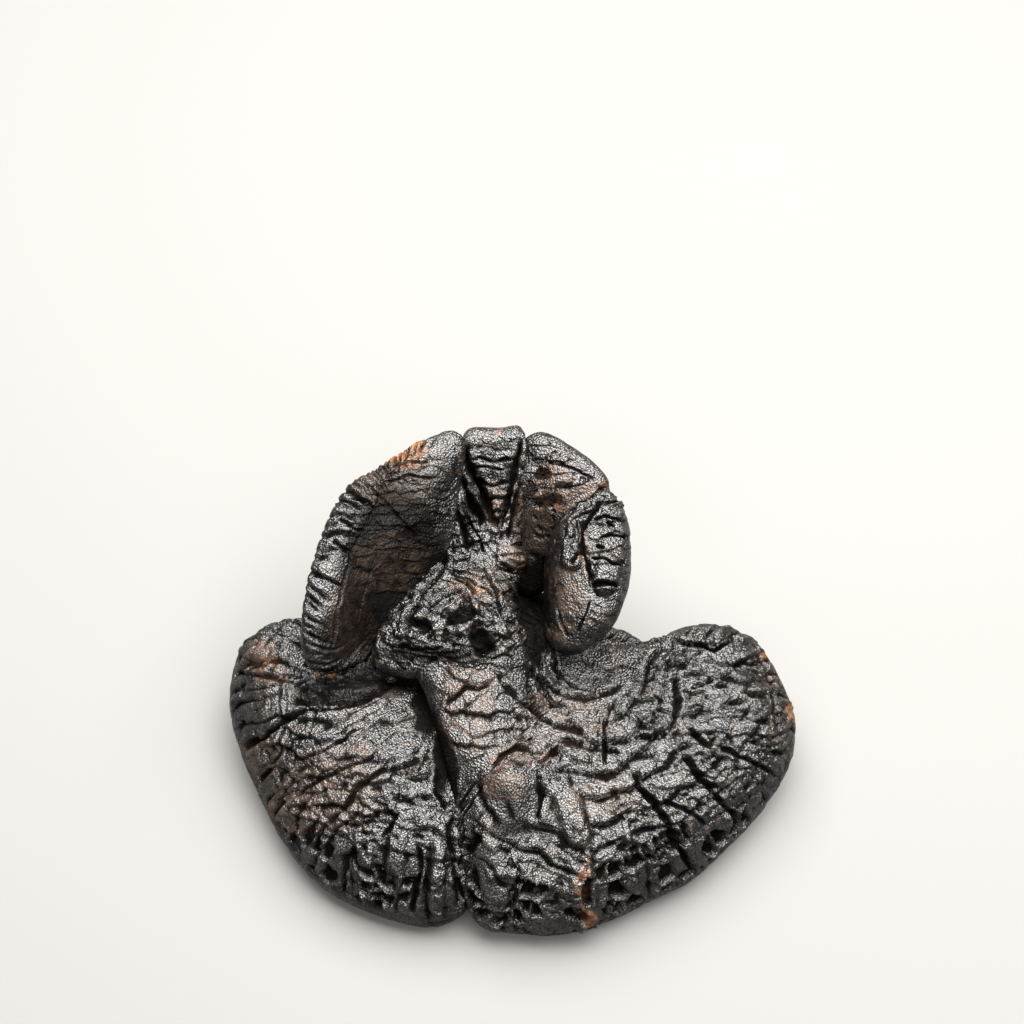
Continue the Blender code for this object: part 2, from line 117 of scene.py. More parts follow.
def wrinkleNoise(x, y, z, layers, around=None):
    # sharp creases where the noise crosses zero: sum of |noise|, so 0 in a crease, about 1 between
    total = 0.0
    for layer in range(layers):
        times = 2**layer
        total = total + np.abs(softNoise(x * times, y * times, z * times + 31 * layer,
                                         around * times if around else None)) / times
    return np.clip(total * 1.3, 0, 1.5)


def plates(u, v, around, seed):
    # cell noise: second minus first, where first is the distance to the nearest scattered centre
    # and second that to the next one; a random tint per cell; and v less the nearest centre's v
    u, v = np.broadcast_arrays(u, v)
    lowU, lowV = np.floor(u).astype(np.int64), np.floor(v).astype(np.int64)
    first = np.full(u.shape, 9.0)
    second = np.full(u.shape, 9.0)
    tint = np.zeros(u.shape)
    beyond = np.zeros(u.shape)
    layer = np.full(u.shape, seed, dtype=np.int64)
    for i in (-1, 0, 1):
        column = (lowU + i) % around if around else lowU + i
        for j in (-1, 0, 1):
            cell = cornerIndex(column, lowV + j, layer)
            du = lowU + i + 0.1 + 0.8 * scatter[cell, 0] - u
            dv = lowV + j + 0.1 + 0.8 * scatter[cell, 1] - v
            away = np.hypot(du, dv)
            nearer = away < first
            second = np.where(nearer, first, np.minimum(second, away))
            tint = np.where(nearer, scatter[cell, 2], tint)
            beyond = np.where(nearer, -dv, beyond)
            first = np.where(nearer, away, first)
    return second - first, tint, beyond


def throughPoints(points, t, closed):
    # Catmull-Rom curve through the points, read at t, which counts in points
    if closed:
        padded = np.concatenate([points[-1:], points, points[:2]])
        last = len(points) - 1
    else:
        padded = np.concatenate([2 * points[:1] - points[1:2], points, 2 * points[-1:] - points[-2:-1]])
        last = len(points) - 2
    start = np.clip(np.floor(t).astype(int), 0, last)
    f = (t - start).reshape((-1,) + (1,) * (points.ndim - 1))
    a, b, c, d = (padded[start + k] for k in range(4))
    return 0.5 * (2 * b + (c - a) * f + (2 * a - 5 * b + 4 * c - d) * f**2
                  + (3 * b - a - 3 * c + d) * f**3)


def alongRibs(ribs, s):
    # the same curve along each rib's four points at s from 0 to 1, with its slope
    padded = np.concatenate([2 * ribs[:, :1] - ribs[:, 1:2], ribs, 2 * ribs[:, -1:] - ribs[:, -2:-1]],
                            axis=1)
    start = np.clip(np.floor(3 * s).astype(int), 0, 2)
    f = (3 * s - start)[..., None]
    a, b, c, d = (np.take_along_axis(padded, (start + k)[..., None], axis=1) for k in range(4))
    linear, square, cube = c - a, 2 * a - 5 * b + 4 * c - d, 3 * b - a - 3 * c + d
    value = 0.5 * (2 * b + linear * f + square * f**2 + cube * f**3)
    return value, 1.5 * (linear + 2 * square * f + 3 * cube * f**2)


def evenSteps(net, count):
    # places round the heel that are evenly spaced along the rim, and the rim's length
    t = np.linspace(0, len(net), 2000, endpoint=False)
    rim = throughPoints(net, t, True)[:, 3]
    gaps = np.linalg.norm(np.roll(rim, -1, axis=0) - rim, axis=1)
    travelled = np.concatenate([[0], np.cumsum(gaps)])
    steps = np.linspace(0, travelled[-1], count, endpoint=False)
    return np.interp(steps, travelled, np.append(t, len(net))), travelled[-1]


def middleSheet(net, t, s):
    # point, upward normal and rib direction of the lobe's middle surface, and the rib's speed;
    # near the heel, where the ribs meet, the normal fades to the mean one
    point, outward = alongRibs(throughPoints(net, t, True), s)
    ahead = alongRibs(throughPoints(net, (t + 0.05) % len(net), True), s)[0]
    behind = alongRibs(throughPoints(net, (t - 0.05) % len(net), True), s)[0]
    normal = np.cross(outward, ahead - behind)
    normal /= np.linalg.norm(normal, axis=2, keepdims=True) + 1e-9
    heelNormal = normal[:, 3].mean(axis=0)
    heelNormal /= np.linalg.norm(heelNormal)
    share = ramp(s / 0.12)[..., None]
    normal = heelNormal * (1 - share) + normal * share
    normal /= np.linalg.norm(normal, axis=2, keepdims=True)
    speed = np.linalg.norm(outward, axis=2)
    return point, normal, outward / speed[..., None], speed


def crossSection(lobe, tipSpeed):
    # s and side (1 on top, -1 beneath) of each row: along the top, round the rim in a half
    # circle, and back along the underside
    rows = lobe["rows"]
    end = 1 - lobe["inset"] / tipSpeed
    width = np.minimum(0.55 * lobe["rimThick"] / tipSpeed, 0.4)
    angle = np.linspace(0, math.pi, rows["rim"] + 2)[None, 1:-1]
    flat = (end - width)[:, None]
    s = np.concatenate([np.linspace(0, 1, rows["top"] + 1)[None] ** 0.9 * flat,
                        flat + width[:, None] * np.sin(angle),
                        np.linspace(1, 0, rows["beneath"] + 1)[None] * flat], axis=1)
    side = np.concatenate([np.ones(rows["top"] + 1), np.cos(angle[0]), -np.ones(rows["beneath"] + 1)])
    return s, np.broadcast_to(side, s.shape)


def nearLine(photo, line):
    # distance on the photograph, in mm, to a traced line, and how far along it (0 to 1)
    line = np.array(line, dtype=float)
    lengths = np.linalg.norm(np.diff(line, axis=0), axis=1)
    best = np.full(photo.shape[:-1], 1e9)
    along = np.zeros(photo.shape[:-1])
    travelled = 0.0
    for start, end, length in zip(line[:-1], line[1:], lengths):
        step = end - start
        share = np.clip((photo - start) @ step / (step @ step), 0, 1)
        away = np.linalg.norm(photo - start - share[..., None] * step, axis=-1)
        along = np.where(away < best, (travelled + share * length) / lengths.sum(), along)
        best = np.minimum(best, away)
        travelled += length
    return best / pixelsPerMm, along


def inSpot(photo, spot, steepness, reach):
    # 1 inside an ellipse on the photograph, given by its centre and half widths in pixels, and
    # 0 from "reach" half widths out
    centreX, centreY, halfWidth, halfHeight = spot[:4]
    away = np.hypot((photo[..., 0] - centreX) / halfWidth, (photo[..., 1] - centreY) / halfHeight)
    return ramp(steepness * (reach - away))


def terraceWave(distance, spacing, riser):
    # treads that rise evenly outward, each ending in a short drop, the riser
    share = (distance / spacing) % 1.0
    return np.minimum(share / (1 - riser), (1 - share) / riser) - 0.5


def blurred(field, reach):
    # mean over a square of cells: first round the lobe, where the grid closes, then along the ribs
    width = 2 * reach + 1
    for axis in (0, 1):
        pad = [(reach + 1, reach) if i == axis else (0, 0) for i in (0, 1)]
        total = np.cumsum(np.pad(field, pad, mode="edge" if axis else "wrap"), axis=axis)
        sums = total[:, width:] - total[:, :-width] if axis else total[width:] - total[:-width]
        field = sums / width
    return field


def repeats(place, spacing):
    # how many times a pattern goes round the rim
    return max(1, round(place["rimLength"] / spacing))


# Layers of a lobe's relief follow. "height" is how far the skin stands out of the smooth form, in
# mm, and "crack" is 1 in a thin crack, where shade is painted black later, and 0 beside it.
noiseSize = {"swell": 14, "drift": 16, "shake": 5}   # cells of the noises, in mm


def broadFolds(folds, place):
    # |sin|^0.7 round the rim: pillows with narrow grooves between them, and a soft unevenness
    x, y, z = (place["point"][..., axis] / noiseSize["swell"] for axis in range(3))
    turn = place["turn"] * repeats(place, folds["spacing"]) + 0.45 * place["drift"] + 0.05 * place["shake"]
    pillow = np.abs(np.sin(math.pi * turn)) ** 0.7 - 0.68
    height = folds["high"] * pillow * ramp((place["s"] - folds["start"]) / 0.35)
    return height + 0.45 * softNoise(x, y, z + 3)


def growthSteps(steps, place, height):
    # terraces parallel to the rim, strong in some parts and gone in others, a crack at each foot
    spacing = steps["spacing"]
    distance = place["run"] + 3.2 * place["drift"] + 0.35 * place["shake"]
    amount = ramp(0.9 + 1.4 * layeredNoise(place["point"], noiseSize["swell"], (0, 7, 0)))
    amount = amount * ramp((place["s"] - 0.17) / 0.15) * ramp((place["fromRim"] - steps["low"]) / 8)
    foot = np.abs((distance / spacing + 0.02) % 1.0 - 0.04) * spacing
    ring = amount * (1 - ramp(foot / 1.2))
    height = height + amount * steps["high"] * terraceWave(distance, spacing, 0.1) - steps["deep"] * ring
    return height, ring * min(steps["deep"], 1)


def overlappingScales(scales, place, height):
    # cells that rise outward to a step, of uneven height, between two distances from the rim
    count = repeats(place, scales["across"])
    along = (place["run"] + 0.6 * place["shiver"] + 2 * place["drift"]) / scales["length"]
    edge, tint, outer = plates(place["turn"] * count + 0.12 * place["shake"], along, count, scales["seed"])
    scale = (0.2 + 0.9 * tint) * outer + 0.5 * (tint - 0.5) + 0.35 * ramp(edge / 0.1) - 0.3
    share = band(place["fromRim"], scales["low"], scales["far"], 6)
    return height + scales["high"] * scale * share * place["offHeel"]


def radialGrooves(grooves, place, height, crack):
    # grooves at uneven distances round the rim, of uneven depth and reach, with rounded ribs
    # between them; "lean" turns them off the ribs in the lower part of the photograph
    length = place["rimLength"]
    shift = grooves["sway"] * place["drift"] + 0.4 * place["shake"]
    if "lean" in grooves:
        share, top, over = grooves["lean"]
        lower = ramp((place["photo"][..., 1] - top) / over)
        shift = shift - share * np.minimum(place["fromRim"], 20) * lower
    count = max(3, round(length / grooves["across"]))
    chosen = scatter[(np.arange(count + 1) % count * 7 + grooves["seed"]) % 256]
    edges = np.concatenate([[0], np.cumsum(0.45 + 1.1 * chosen[:count, 0])])
    edges = edges / edges[-1] * length
    u = np.interp((place["arc"] + shift) % length, edges, np.arange(count + 1.0))
    rib = np.minimum(np.floor(u).astype(int), count - 1)
    width = np.diff(edges)[rib]
    away = np.minimum(u - rib, 1 - u + rib) * width
    nearest = np.round(u).astype(int) % count
    reach = grooves["short"] + (grooves["long"] - grooves["short"]) * chosen[nearest, 1]
    strong = 0.35 + 0.9 * chosen[nearest, 2]
    cleft = grooves["deep"] * strong * (1 - ramp(away / (0.6 + 0.8 * strong)))
    dome = 0.3 * grooves["deep"] * (np.sqrt(np.clip(2 * away / width, 0, 1)) - 0.7)
    form = (dome - cleft) * ramp((reach - place["fromRim"]) / 7)
    # painted shade: the groove bottoms go into the crack mask, which is coloured black
    black = grooves.get("black", 0) * ramp(-1.2 * form / grooves["deep"]) * place["offHeel"]
    return height + form * place["offHeel"], np.maximum(crack, black)


def marginCells(cells, place, height, crack):
    # angular holes between thin walls along the front margin, where they take over from the
    # broader forms
    count = repeats(place, cells["across"])
    turns = place["turn"] * count + 0.35 * place["drift"] + 0.2 * place["shake"]
    along = (place["run"] + 2 * place["drift"] + place["shiver"]) / cells["length"]
    edge, tint, _ = plates(turns, along, count, cells["seed"])
    hole = ramp((edge - 0.1) / 0.12) * ramp(2.2 * tint - 0.25)
    front = ramp((place["photo"][..., 1] - cells["top"]) / 30 + 0.5 * place["shake"])
    share = band(place["fromRim"], cells["low"], cells["far"], 2.5) * front
    height = height * (1 - 0.55 * share) + cells["deep"] * (0.3 - hole) * share
    # painted shade: the holes go into the crack mask, which is coloured black
    return height, np.maximum(crack, 0.8 * hole * share)


def lostChips(chips, place, height):
    # one cell in five has flaked off
    count = repeats(place, chips["across"])
    along = (place["run"] + 2 * place["drift"] + 0.5 * place["shiver"]) / chips["length"]
    edge, tint, _ = plates(place["turn"] * count + 0.15 * place["shake"], along, count, 9)
    lost = ramp((tint - 0.8) / 0.05) * ramp((edge - 0.1) / 0.15)
    return height - chips["deep"] * lost * place["offHeel"] * ramp((place["fromRim"] - chips["low"]) / 4)


def chippedLedges(ledges, place, height, crack):
    # flat chips with a short cliff on the side that faces the front, and a crack at its foot
    x, y, z = (place["point"][..., axis] for axis in range(3))
    drift, shake, shiver = place["drift"], place["shake"], place["shiver"]
    high, wide, deep = ledges["high"], ledges["wide"], ledges["deep"]
    edge, tint, back = plates(x / wide + 0.15 * shake, (y + 0.8 * z) / deep + 0.25 * drift + 0.2 * shiver,
                              None, int(wide * 3))
    chip = 0.35 * ramp(edge / 0.1) - 1.3 * back * (0.3 + tint) + 0.5 * tint - 0.4
    share = ramp((place["fromRim"] - ledges["low"]) / 5) * inSpot(place["photo"], ledges["where"], 3, 1.15)
    foot = ramp((1.1 - edge * deep) / 0.6) * ramp(-4 * back) * ramp(0.6 + 2 * shake)
    foot = foot * ramp((tint - 0.3) / 0.1) * share
    return height + high * chip * share - 0.5 * high * foot, np.maximum(crack, foot)


def rimLayers(rim, place, lip, height, crack):
    # the rim is a smooth band in layers that run along it
    smooth = rim["smooth"]
    layers = terraceWave(place["fromRim"] + 0.8 * place["drift"] + 0.15 * place["shake"], 1.9, 0.3)
    layers = layers * ramp(0.5 + place["drift"])
    # painted shade: a dark line at the foot of each layer, through the crack mask
    line = 0.6 * ramp(-4 * layers - 1) * lip * smooth * ramp(0.5 + place["shake"])
    return height * (1 - 0.92 * lip * smooth) + 0.8 * layers * lip * smooth, np.maximum(crack, line)


def tracedRidge(ridge, place, lip, height):
    # a flat-topped rib with steep sides, which starts low
    width, rise, line = ridge
    away, along = nearLine(place["photo"], line)
    rib = rise * ramp(1.4 * (1.35 - away / width)) * (0.9 + 0.25 * place["shiver"])
    rib = rib * (0.35 + 0.65 * ramp(2.5 * along))
    return height + rib * (1 - 0.85 * lip)


def tracedCrease(crease, place, lip, height, crack):
    # a worn groove that tapers at both ends, with a faint swelling along its sides
    width, depth, line = crease
    away, along = nearLine(place["photo"], line)
    taper = ramp(along / 0.12) * ramp((1 - along) / 0.12) * 0.8 + 0.2
    worn = 1.4 * width * np.maximum(0.8 + 0.9 * place["shiver"], 0.15) + 0.25
    height = height - 1.15 * depth * taper * (1 - ramp(away / worn)) * (1 - 0.8 * lip)
    height = height + 0.15 * depth * taper * np.exp(-((away - 1.9 * width) / width) ** 2)
    return height, np.maximum(crack, ramp(1.7 * (1 - away / worn)) * taper * (1 - lip))


def skinRelief(lobe, place):
    # the layers in turn: patterns first, then the rim, and what is traced from the photograph
    height, crack = growthSteps(lobe["steps"], place, broadFolds(lobe["folds"], place))
    if "scales" in lobe:
        height = overlappingScales(lobe["scales"], place, height)
    for grooves in lobe.get("grooves", []):
        height, crack = radialGrooves(grooves, place, height, crack)
    if "cells" in lobe:
        height, crack = marginCells(lobe["cells"], place, height, crack)
    height = lostChips(lobe["chips"], place, height)
    for spot in lobe.get("calm", {}).values():
        share = spot[4] * inSpot(place["photo"], spot, 2, 1.25)
        height, crack = height * (1 - share), crack * (1 - share)
    for ledges in lobe.get("ledges", {}).values():
        height, crack = chippedLedges(ledges, place, height, crack)
    x, y, z = (place["point"][..., axis] / noiseSize["shake"] for axis in range(3))
    height = height + lobe["fine"] * (wrinkleNoise(x, y, z, 2) - 0.5)

    lip = 1 - ramp((place["fromRim"] - lobe["rim"]["wide"]) / 2.5)
    height, crack = rimLayers(lobe["rim"], place, lip, height, crack)
    for centre, radius, rise in lobe["lumps"].values():
        away = np.linalg.norm(place["point"] - np.array(centre), axis=-1)
        height = height + rise * np.exp(-(away / radius) ** 2)
    for ridge in lobe.get("ridges", {}).values():
        height = tracedRidge(ridge, place, lip, height)
    for crease in lobe["creases"].values():
        height, crack = tracedCrease(crease, place, lip, height, crack)
    return height, crack


def closedGrid(field):
    # the grid's inner rows as one list, between the means of its first row and its last
    inner = field[:, 1:-1].reshape((-1,) + field.shape[2:])
    return np.concatenate([field[:, 0].mean(axis=0)[None], inner, field[:, -1].mean(axis=0)[None]])


def makeSkin(name, points, masks, grainPlace):
    # faces between the points of a grid (round, along), closed by a fan to one point at each end
    around, along = points.shape[:2]
    everyPoint = closedGrid(points)
    index = 1 + np.arange(around * (along - 2)).reshape(around, along - 2)
    beside = np.roll(index, -1, axis=0)
    quads = np.stack([index[:, :-1], index[:, 1:], beside[:, 1:], beside[:, :-1]], axis=-1).reshape(-1, 4)
    first = np.stack([np.zeros(around, int), index[:, 0], beside[:, 0]], axis=-1)
    last = np.stack([index[:, -1], np.full(around, len(everyPoint) - 1), beside[:, -1]], axis=-1)
    a, b, c = (everyPoint[quads[:, corner]] for corner in range(3))
    if np.einsum("ij,ij->", a, np.cross(b - a, c - a)) < 0:   # a negative volume: turned inside out
        quads, first, last = quads[:, ::-1], first[:, ::-1], last[:, ::-1]
    loops = np.concatenate([quads.ravel(), first.ravel(), last.ravel()])
    sizes = np.concatenate([np.full(len(quads), 4), np.full(2 * around, 3)])
    mesh = bpy.data.meshes.new(name)
    mesh.vertices.add(len(everyPoint))
    mesh.vertices.foreach_set("co", ((everyPoint - layoutCentre) * mm).ravel())
    mesh.loops.add(len(loops))
    mesh.loops.foreach_set("vertex_index", loops)
    mesh.polygons.add(len(sizes))
    mesh.polygons.foreach_set("loop_start", np.concatenate([[0], np.cumsum(sizes)[:-1]]))
    mesh.polygons.foreach_set("use_smooth", np.ones(len(sizes), bool))
    for label, mask in masks.items():
        attribute = mesh.attributes.new(label, "FLOAT", "POINT")
        attribute.data.foreach_set("value", closedGrid(mask).astype(np.float32))
    attribute = mesh.attributes.new("ribs", "FLOAT_VECTOR", "POINT")
    attribute.data.foreach_set("vector", (closedGrid(grainPlace) * mm).astype(np.float32).ravel())
    mesh.update(calc_edges=True)
    mesh.validate()
    piece = bpy.data.objects.new(name, mesh)
    bpy.context.scene.collection.objects.link(piece)
    return piece


def finishPiece(piece, material):
    piece.data.materials.append(material)
    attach(piece, "root")
    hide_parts("mushroom")
    print(piece.name, len(piece.data.polygons), "faces")


def growLobe(name, lobe, material):
    # ribs from the heel to the rim, a thickness on either side of their sheet, and the relief
    # pushed out along the skin
    net = np.array([(lobe["heel"],) + rib for rib in lobe["ribs"]], dtype=float)
    t, rimLength = evenSteps(net, lobe["around"])
    speed = middleSheet(net, t, np.linspace(0, 1, 9)[None] + 0 * t[:, None])[3]
    s, side = crossSection(lobe, speed[:, -1])
    point, normal, outward, _ = middleSheet(net, t, s)
    ribLength = speed.mean(axis=1)[:, None]
    thick = lobe["heelThick"] + (lobe["rimThick"] - lobe["heelThick"]) * s
    point = point + normal * (0.5 * thick * side)[..., None]
    skin = normal * side[..., None] + outward * np.sqrt(1 - side**2)[..., None]
    shake = layeredNoise(point, noiseSize["shake"], (9, 0, 0))
    shiver = layeredNoise(point, noiseSize["shake"], (0, 40, 0))
    wander = np.stack([shake, shiver], axis=-1)
    arc = (np.arange(len(t)) / len(t) * rimLength)[:, None] + 0 * s
    place = {
        "arc": arc, "rimLength": rimLength, "turn": arc / rimLength,   # round the rim, in mm and in turns
        "run": s * ribLength, "fromRim": (1 - s) * ribLength, "s": s,   # from heel to rim, in mm and 0 to 1
        "offHeel": ramp((s - 0.15) / 0.3), "point": point, "photo": onPhoto(point) + 2.0 * wander,
        "drift": layeredNoise(point, noiseSize["drift"]), "shake": shake, "shiver": shiver,
    }
    relief, crack = skinRelief(lobe, place)
    onTop = ramp((side + 0.6) / 1.1)
    height = relief * onTop
    point = point + skin * height[..., None]
    point[..., 2] = np.maximum(point[..., 2], 0)   # nothing below the table

    # painted shade: black where the skin lies below what is round it, where it is deep, and in cracks
    hollow = ramp((blurred(height, 6) - height - 0.05) / 0.5)
    hollow = np.maximum(hollow, 0.9 * ramp((-0.8 - height) / 2))
    hollow = np.maximum(hollow, 0.9 * crack * onTop)
    masks = {"hollow": hollow, "beneath": 1 - onTop, "heel": 1 - ramp((s - 0.12) / 0.3)}
    # the brown and rust spots are the crust's own colour; the third kind is painted shade, black spots
    # traced where shade falls
    for kind in ("brown", "rust", "paintedShade"):
        spots = np.zeros(s.shape)
        for spot in lobe[kind].values():
            spots = np.maximum(spots, spot[4] * inSpot(place["photo"] + 3 * wander, spot, 2.2, 1.3))
        masks[kind] = spots * onTop
    # a circle as long as the rim, and the way along the rib, so that cracks follow the ribs
    turn = 2 * math.pi * place["turn"]
    circle = rimLength / (2 * math.pi)
    grainPlace = np.stack([circle * np.cos(turn), circle * np.sin(turn), place["run"] + 200 * (side < 0)],
                          axis=-1)
    finishPiece(makeSkin(name, point, masks, grainPlace), material)


crust = {
    "black": (0.0016, 0.0014, 0.0013), "grey": (0.0074, 0.0063, 0.0054), "brown": (0.03, 0.0185, 0.0125),
    "rust": (0.085, 0.036, 0.015), "pores": (0.05, 0.036, 0.026), "gloss": 0.2, "dull": 0.34,
    # grains and crack cells per metre; ribCells are counted round the rim twice and along the ribs
    "grains": 1450.0, "cells": (150.0, 230.0, 230.0), "cellLine": 0.03,
    "ribCells": (300.0, 300.0, 120.0), "ribCellLine": 0.035,
    "grainDeep": 0.3, "crackDeep": 0.2, "crackWander": 0.0042,   # mm, mm, metres
}


def feed(tree, socket, value):
    # links a socket to another one, or sets it to a plain value
    if isinstance(value, bpy.types.NodeSocket):
        tree.links.new(value, socket)
    else:
        socket.default_value = value


def addNode(tree, kind, values=None, **settings):
    node = tree.nodes.new(kind)
    for key, value in settings.items():
        setattr(node, key, value)
    for key, value in (values or {}).items():
        feed(tree, node.inputs[key], value)
    return node


def mixColours(tree, share, first, second):
    # inputs 6 and 7 and output 2 of the node are its colours
    return addNode(tree, "ShaderNodeMix", {0: share, 6: first, 7: second}, data_type="RGBA").outputs[2]


def calculate(tree, operation, first, second):
    return addNode(tree, "ShaderNodeMath", {0: first, 1: second}, operation=operation).outputs[0]


def strongest(tree, *shares):
    # the largest of several shares
    most = shares[0]
    for share in shares[1:]:
        most = calculate(tree, "MAXIMUM", most, share)
    return most


def stretch(tree, value, low, high, start=0.0, end=1.0):
    # a value that runs from low to high, brought to start to end
    return addNode(tree, "ShaderNodeMapRange", {0: value, 1: low, 2: high, 3: start, 4: end}).outputs[0]


def noise(tree, where, scale, detail, output=0):
    inputs = {"Vector": where, "Scale": scale, "Detail": detail}
    return addNode(tree, "ShaderNodeTexNoise", inputs).outputs[output]


def crackLines(tree, source, wave, cells, width):
    # 1 on the edges of stretched, wandering cells
    place = addNode(tree, "ShaderNodeVectorMath", {0: source, 1: wave}, operation="ADD").outputs[0]
    place = addNode(tree, "ShaderNodeVectorMath", {0: place, 1: cells}, operation="MULTIPLY").outputs[0]
    values = {"Vector": place, "Scale": 1.0}
    cell = addNode(tree, "ShaderNodeTexVoronoi", values, feature="DISTANCE_TO_EDGE")
    return calculate(tree, "SUBTRACT", 1.0, stretch(tree, cell.outputs["Distance"], 0.0, width))


def crustGrain(tree, look, where, ribs, heel):
    # a height for the bump, in mm, the fine cracks, and the gaps between the grains
    grains = addNode(tree, "ShaderNodeTexVoronoi", {"Vector": where, "Scale": look["grains"]}, feature="F1")
    grains = grains.outputs["Distance"]
    wander = (look["crackWander"],) * 3
    wave = noise(tree, where, 260.0, 3.0, "Color")
    wave = addNode(tree, "ShaderNodeVectorMath", {0: wave, 1: wander}, operation="MULTIPLY").outputs[0]
    anywhere = crackLines(tree, where, wave, look["cells"], look["cellLine"])
    alongRib = crackLines(tree, ribs, wave, look["ribCells"], look["ribCellLine"])
    alongRib = calculate(tree, "MULTIPLY", alongRib, calculate(tree, "SUBTRACT", 1.0, heel))
    some = stretch(tree, noise(tree, where, 130.0, 3.0), 0.57, 0.67)
    crack = calculate(tree, "MULTIPLY", strongest(tree, anywhere, alongRib), some)
    depth = calculate(tree, "ADD", calculate(tree, "MULTIPLY", grains, look["grainDeep"]),
                      calculate(tree, "MULTIPLY", crack, look["crackDeep"]))
    return calculate(tree, "SUBTRACT", 0.0, depth), crack, stretch(tree, grains, 0.3, 0.62)


def makeCrust(name, look):
    material = bpy.data.materials.new(name)
    material.use_nodes = True
    tree = material.node_tree
    shader = tree.nodes["Principled BSDF"]
    where = addNode(tree, "ShaderNodeTexCoord").outputs["Object"]
    ribs = addNode(tree, "ShaderNodeAttribute", attribute_name="ribs").outputs["Vector"]
    mask = {}
    for label in ("hollow", "beneath", "heel", "brown", "rust", "paintedShade"):
        mask[label] = addNode(tree, "ShaderNodeAttribute", attribute_name=label).outputs["Fac"]
    tint = {label: (*look[label], 1) for label in ("black", "grey", "brown", "rust", "pores")}
    height, crack, gap = crustGrain(tree, look, where, ribs, mask["heel"])
    cloud = noise(tree, where, 110.0, 4.0)
    blotch = noise(tree, where, 420.0, 5.0)

    # clouds of black and grey, brown blotches, the traced brown and rust, painted shade (black) in hollows,
    # cracks and traced spots, pores
    brownShare = calculate(tree, "MULTIPLY", mask["brown"], stretch(tree, blotch, 0.36, 0.56))
    rustShare = calculate(tree, "MULTIPLY", mask["rust"], stretch(tree, blotch, 0.40, 0.50))
    shade = calculate(tree, "MULTIPLY", strongest(tree, mask["hollow"], mask["paintedShade"]), 0.8)
    colour = mixColours(tree, stretch(tree, cloud, 0.42, 0.66), tint["black"], tint["grey"])
    colour = mixColours(tree, stretch(tree, blotch, 0.58, 0.74), colour, tint["brown"])
    colour = mixColours(tree, brownShare, colour, tint["brown"])
    colour = mixColours(tree, rustShare, colour, tint["rust"])
    colour = mixColours(tree, shade, colour, tint["black"])
    colour = mixColours(tree, mask["beneath"], colour, tint["pores"])
    tree.links.new(colour, shader.inputs["Base Color"])

    # the lacquer is a coat, taken off with the painted shade in hollows and traced spots, worn off in
    # cracks and gaps, and partly where it is brown
    bare = strongest(tree, mask["hollow"], mask["beneath"], mask["paintedShade"],
                     calculate(tree, "MULTIPLY", crack, 0.8), calculate(tree, "MULTIPLY", gap, 0.55),
                     calculate(tree, "MULTIPLY", brownShare, 0.6),
                     calculate(tree, "MULTIPLY", rustShare, 0.8))
    tree.links.new(calculate(tree, "SUBTRACT", 1.0, bare), shader.inputs["Coat Weight"])
    rough = stretch(tree, blotch, 0.35, 0.7, look["gloss"], look["dull"])
    tree.links.new(rough, shader.inputs["Coat Roughness"])
    shader.inputs["Coat IOR"].default_value = 1.55
    shader.inputs["Roughness"].default_value = 0.6
    shader.inputs["Specular IOR Level"].default_value = 0.0
    bump = addNode(tree, "ShaderNodeBump", {"Strength": 1.0, "Distance": mm, "Height": height})
    tree.links.new(bump.outputs[0], shader.inputs["Normal"])
    tree.links.new(bump.outputs[0], shader.inputs["Coat Normal"])
    return material


blackCrust = makeCrust("black crust", crust)
print("crust made")


# The notes on the first lobe hold for all of them. Low and far are distances from the rim, between
# which a pattern shows.

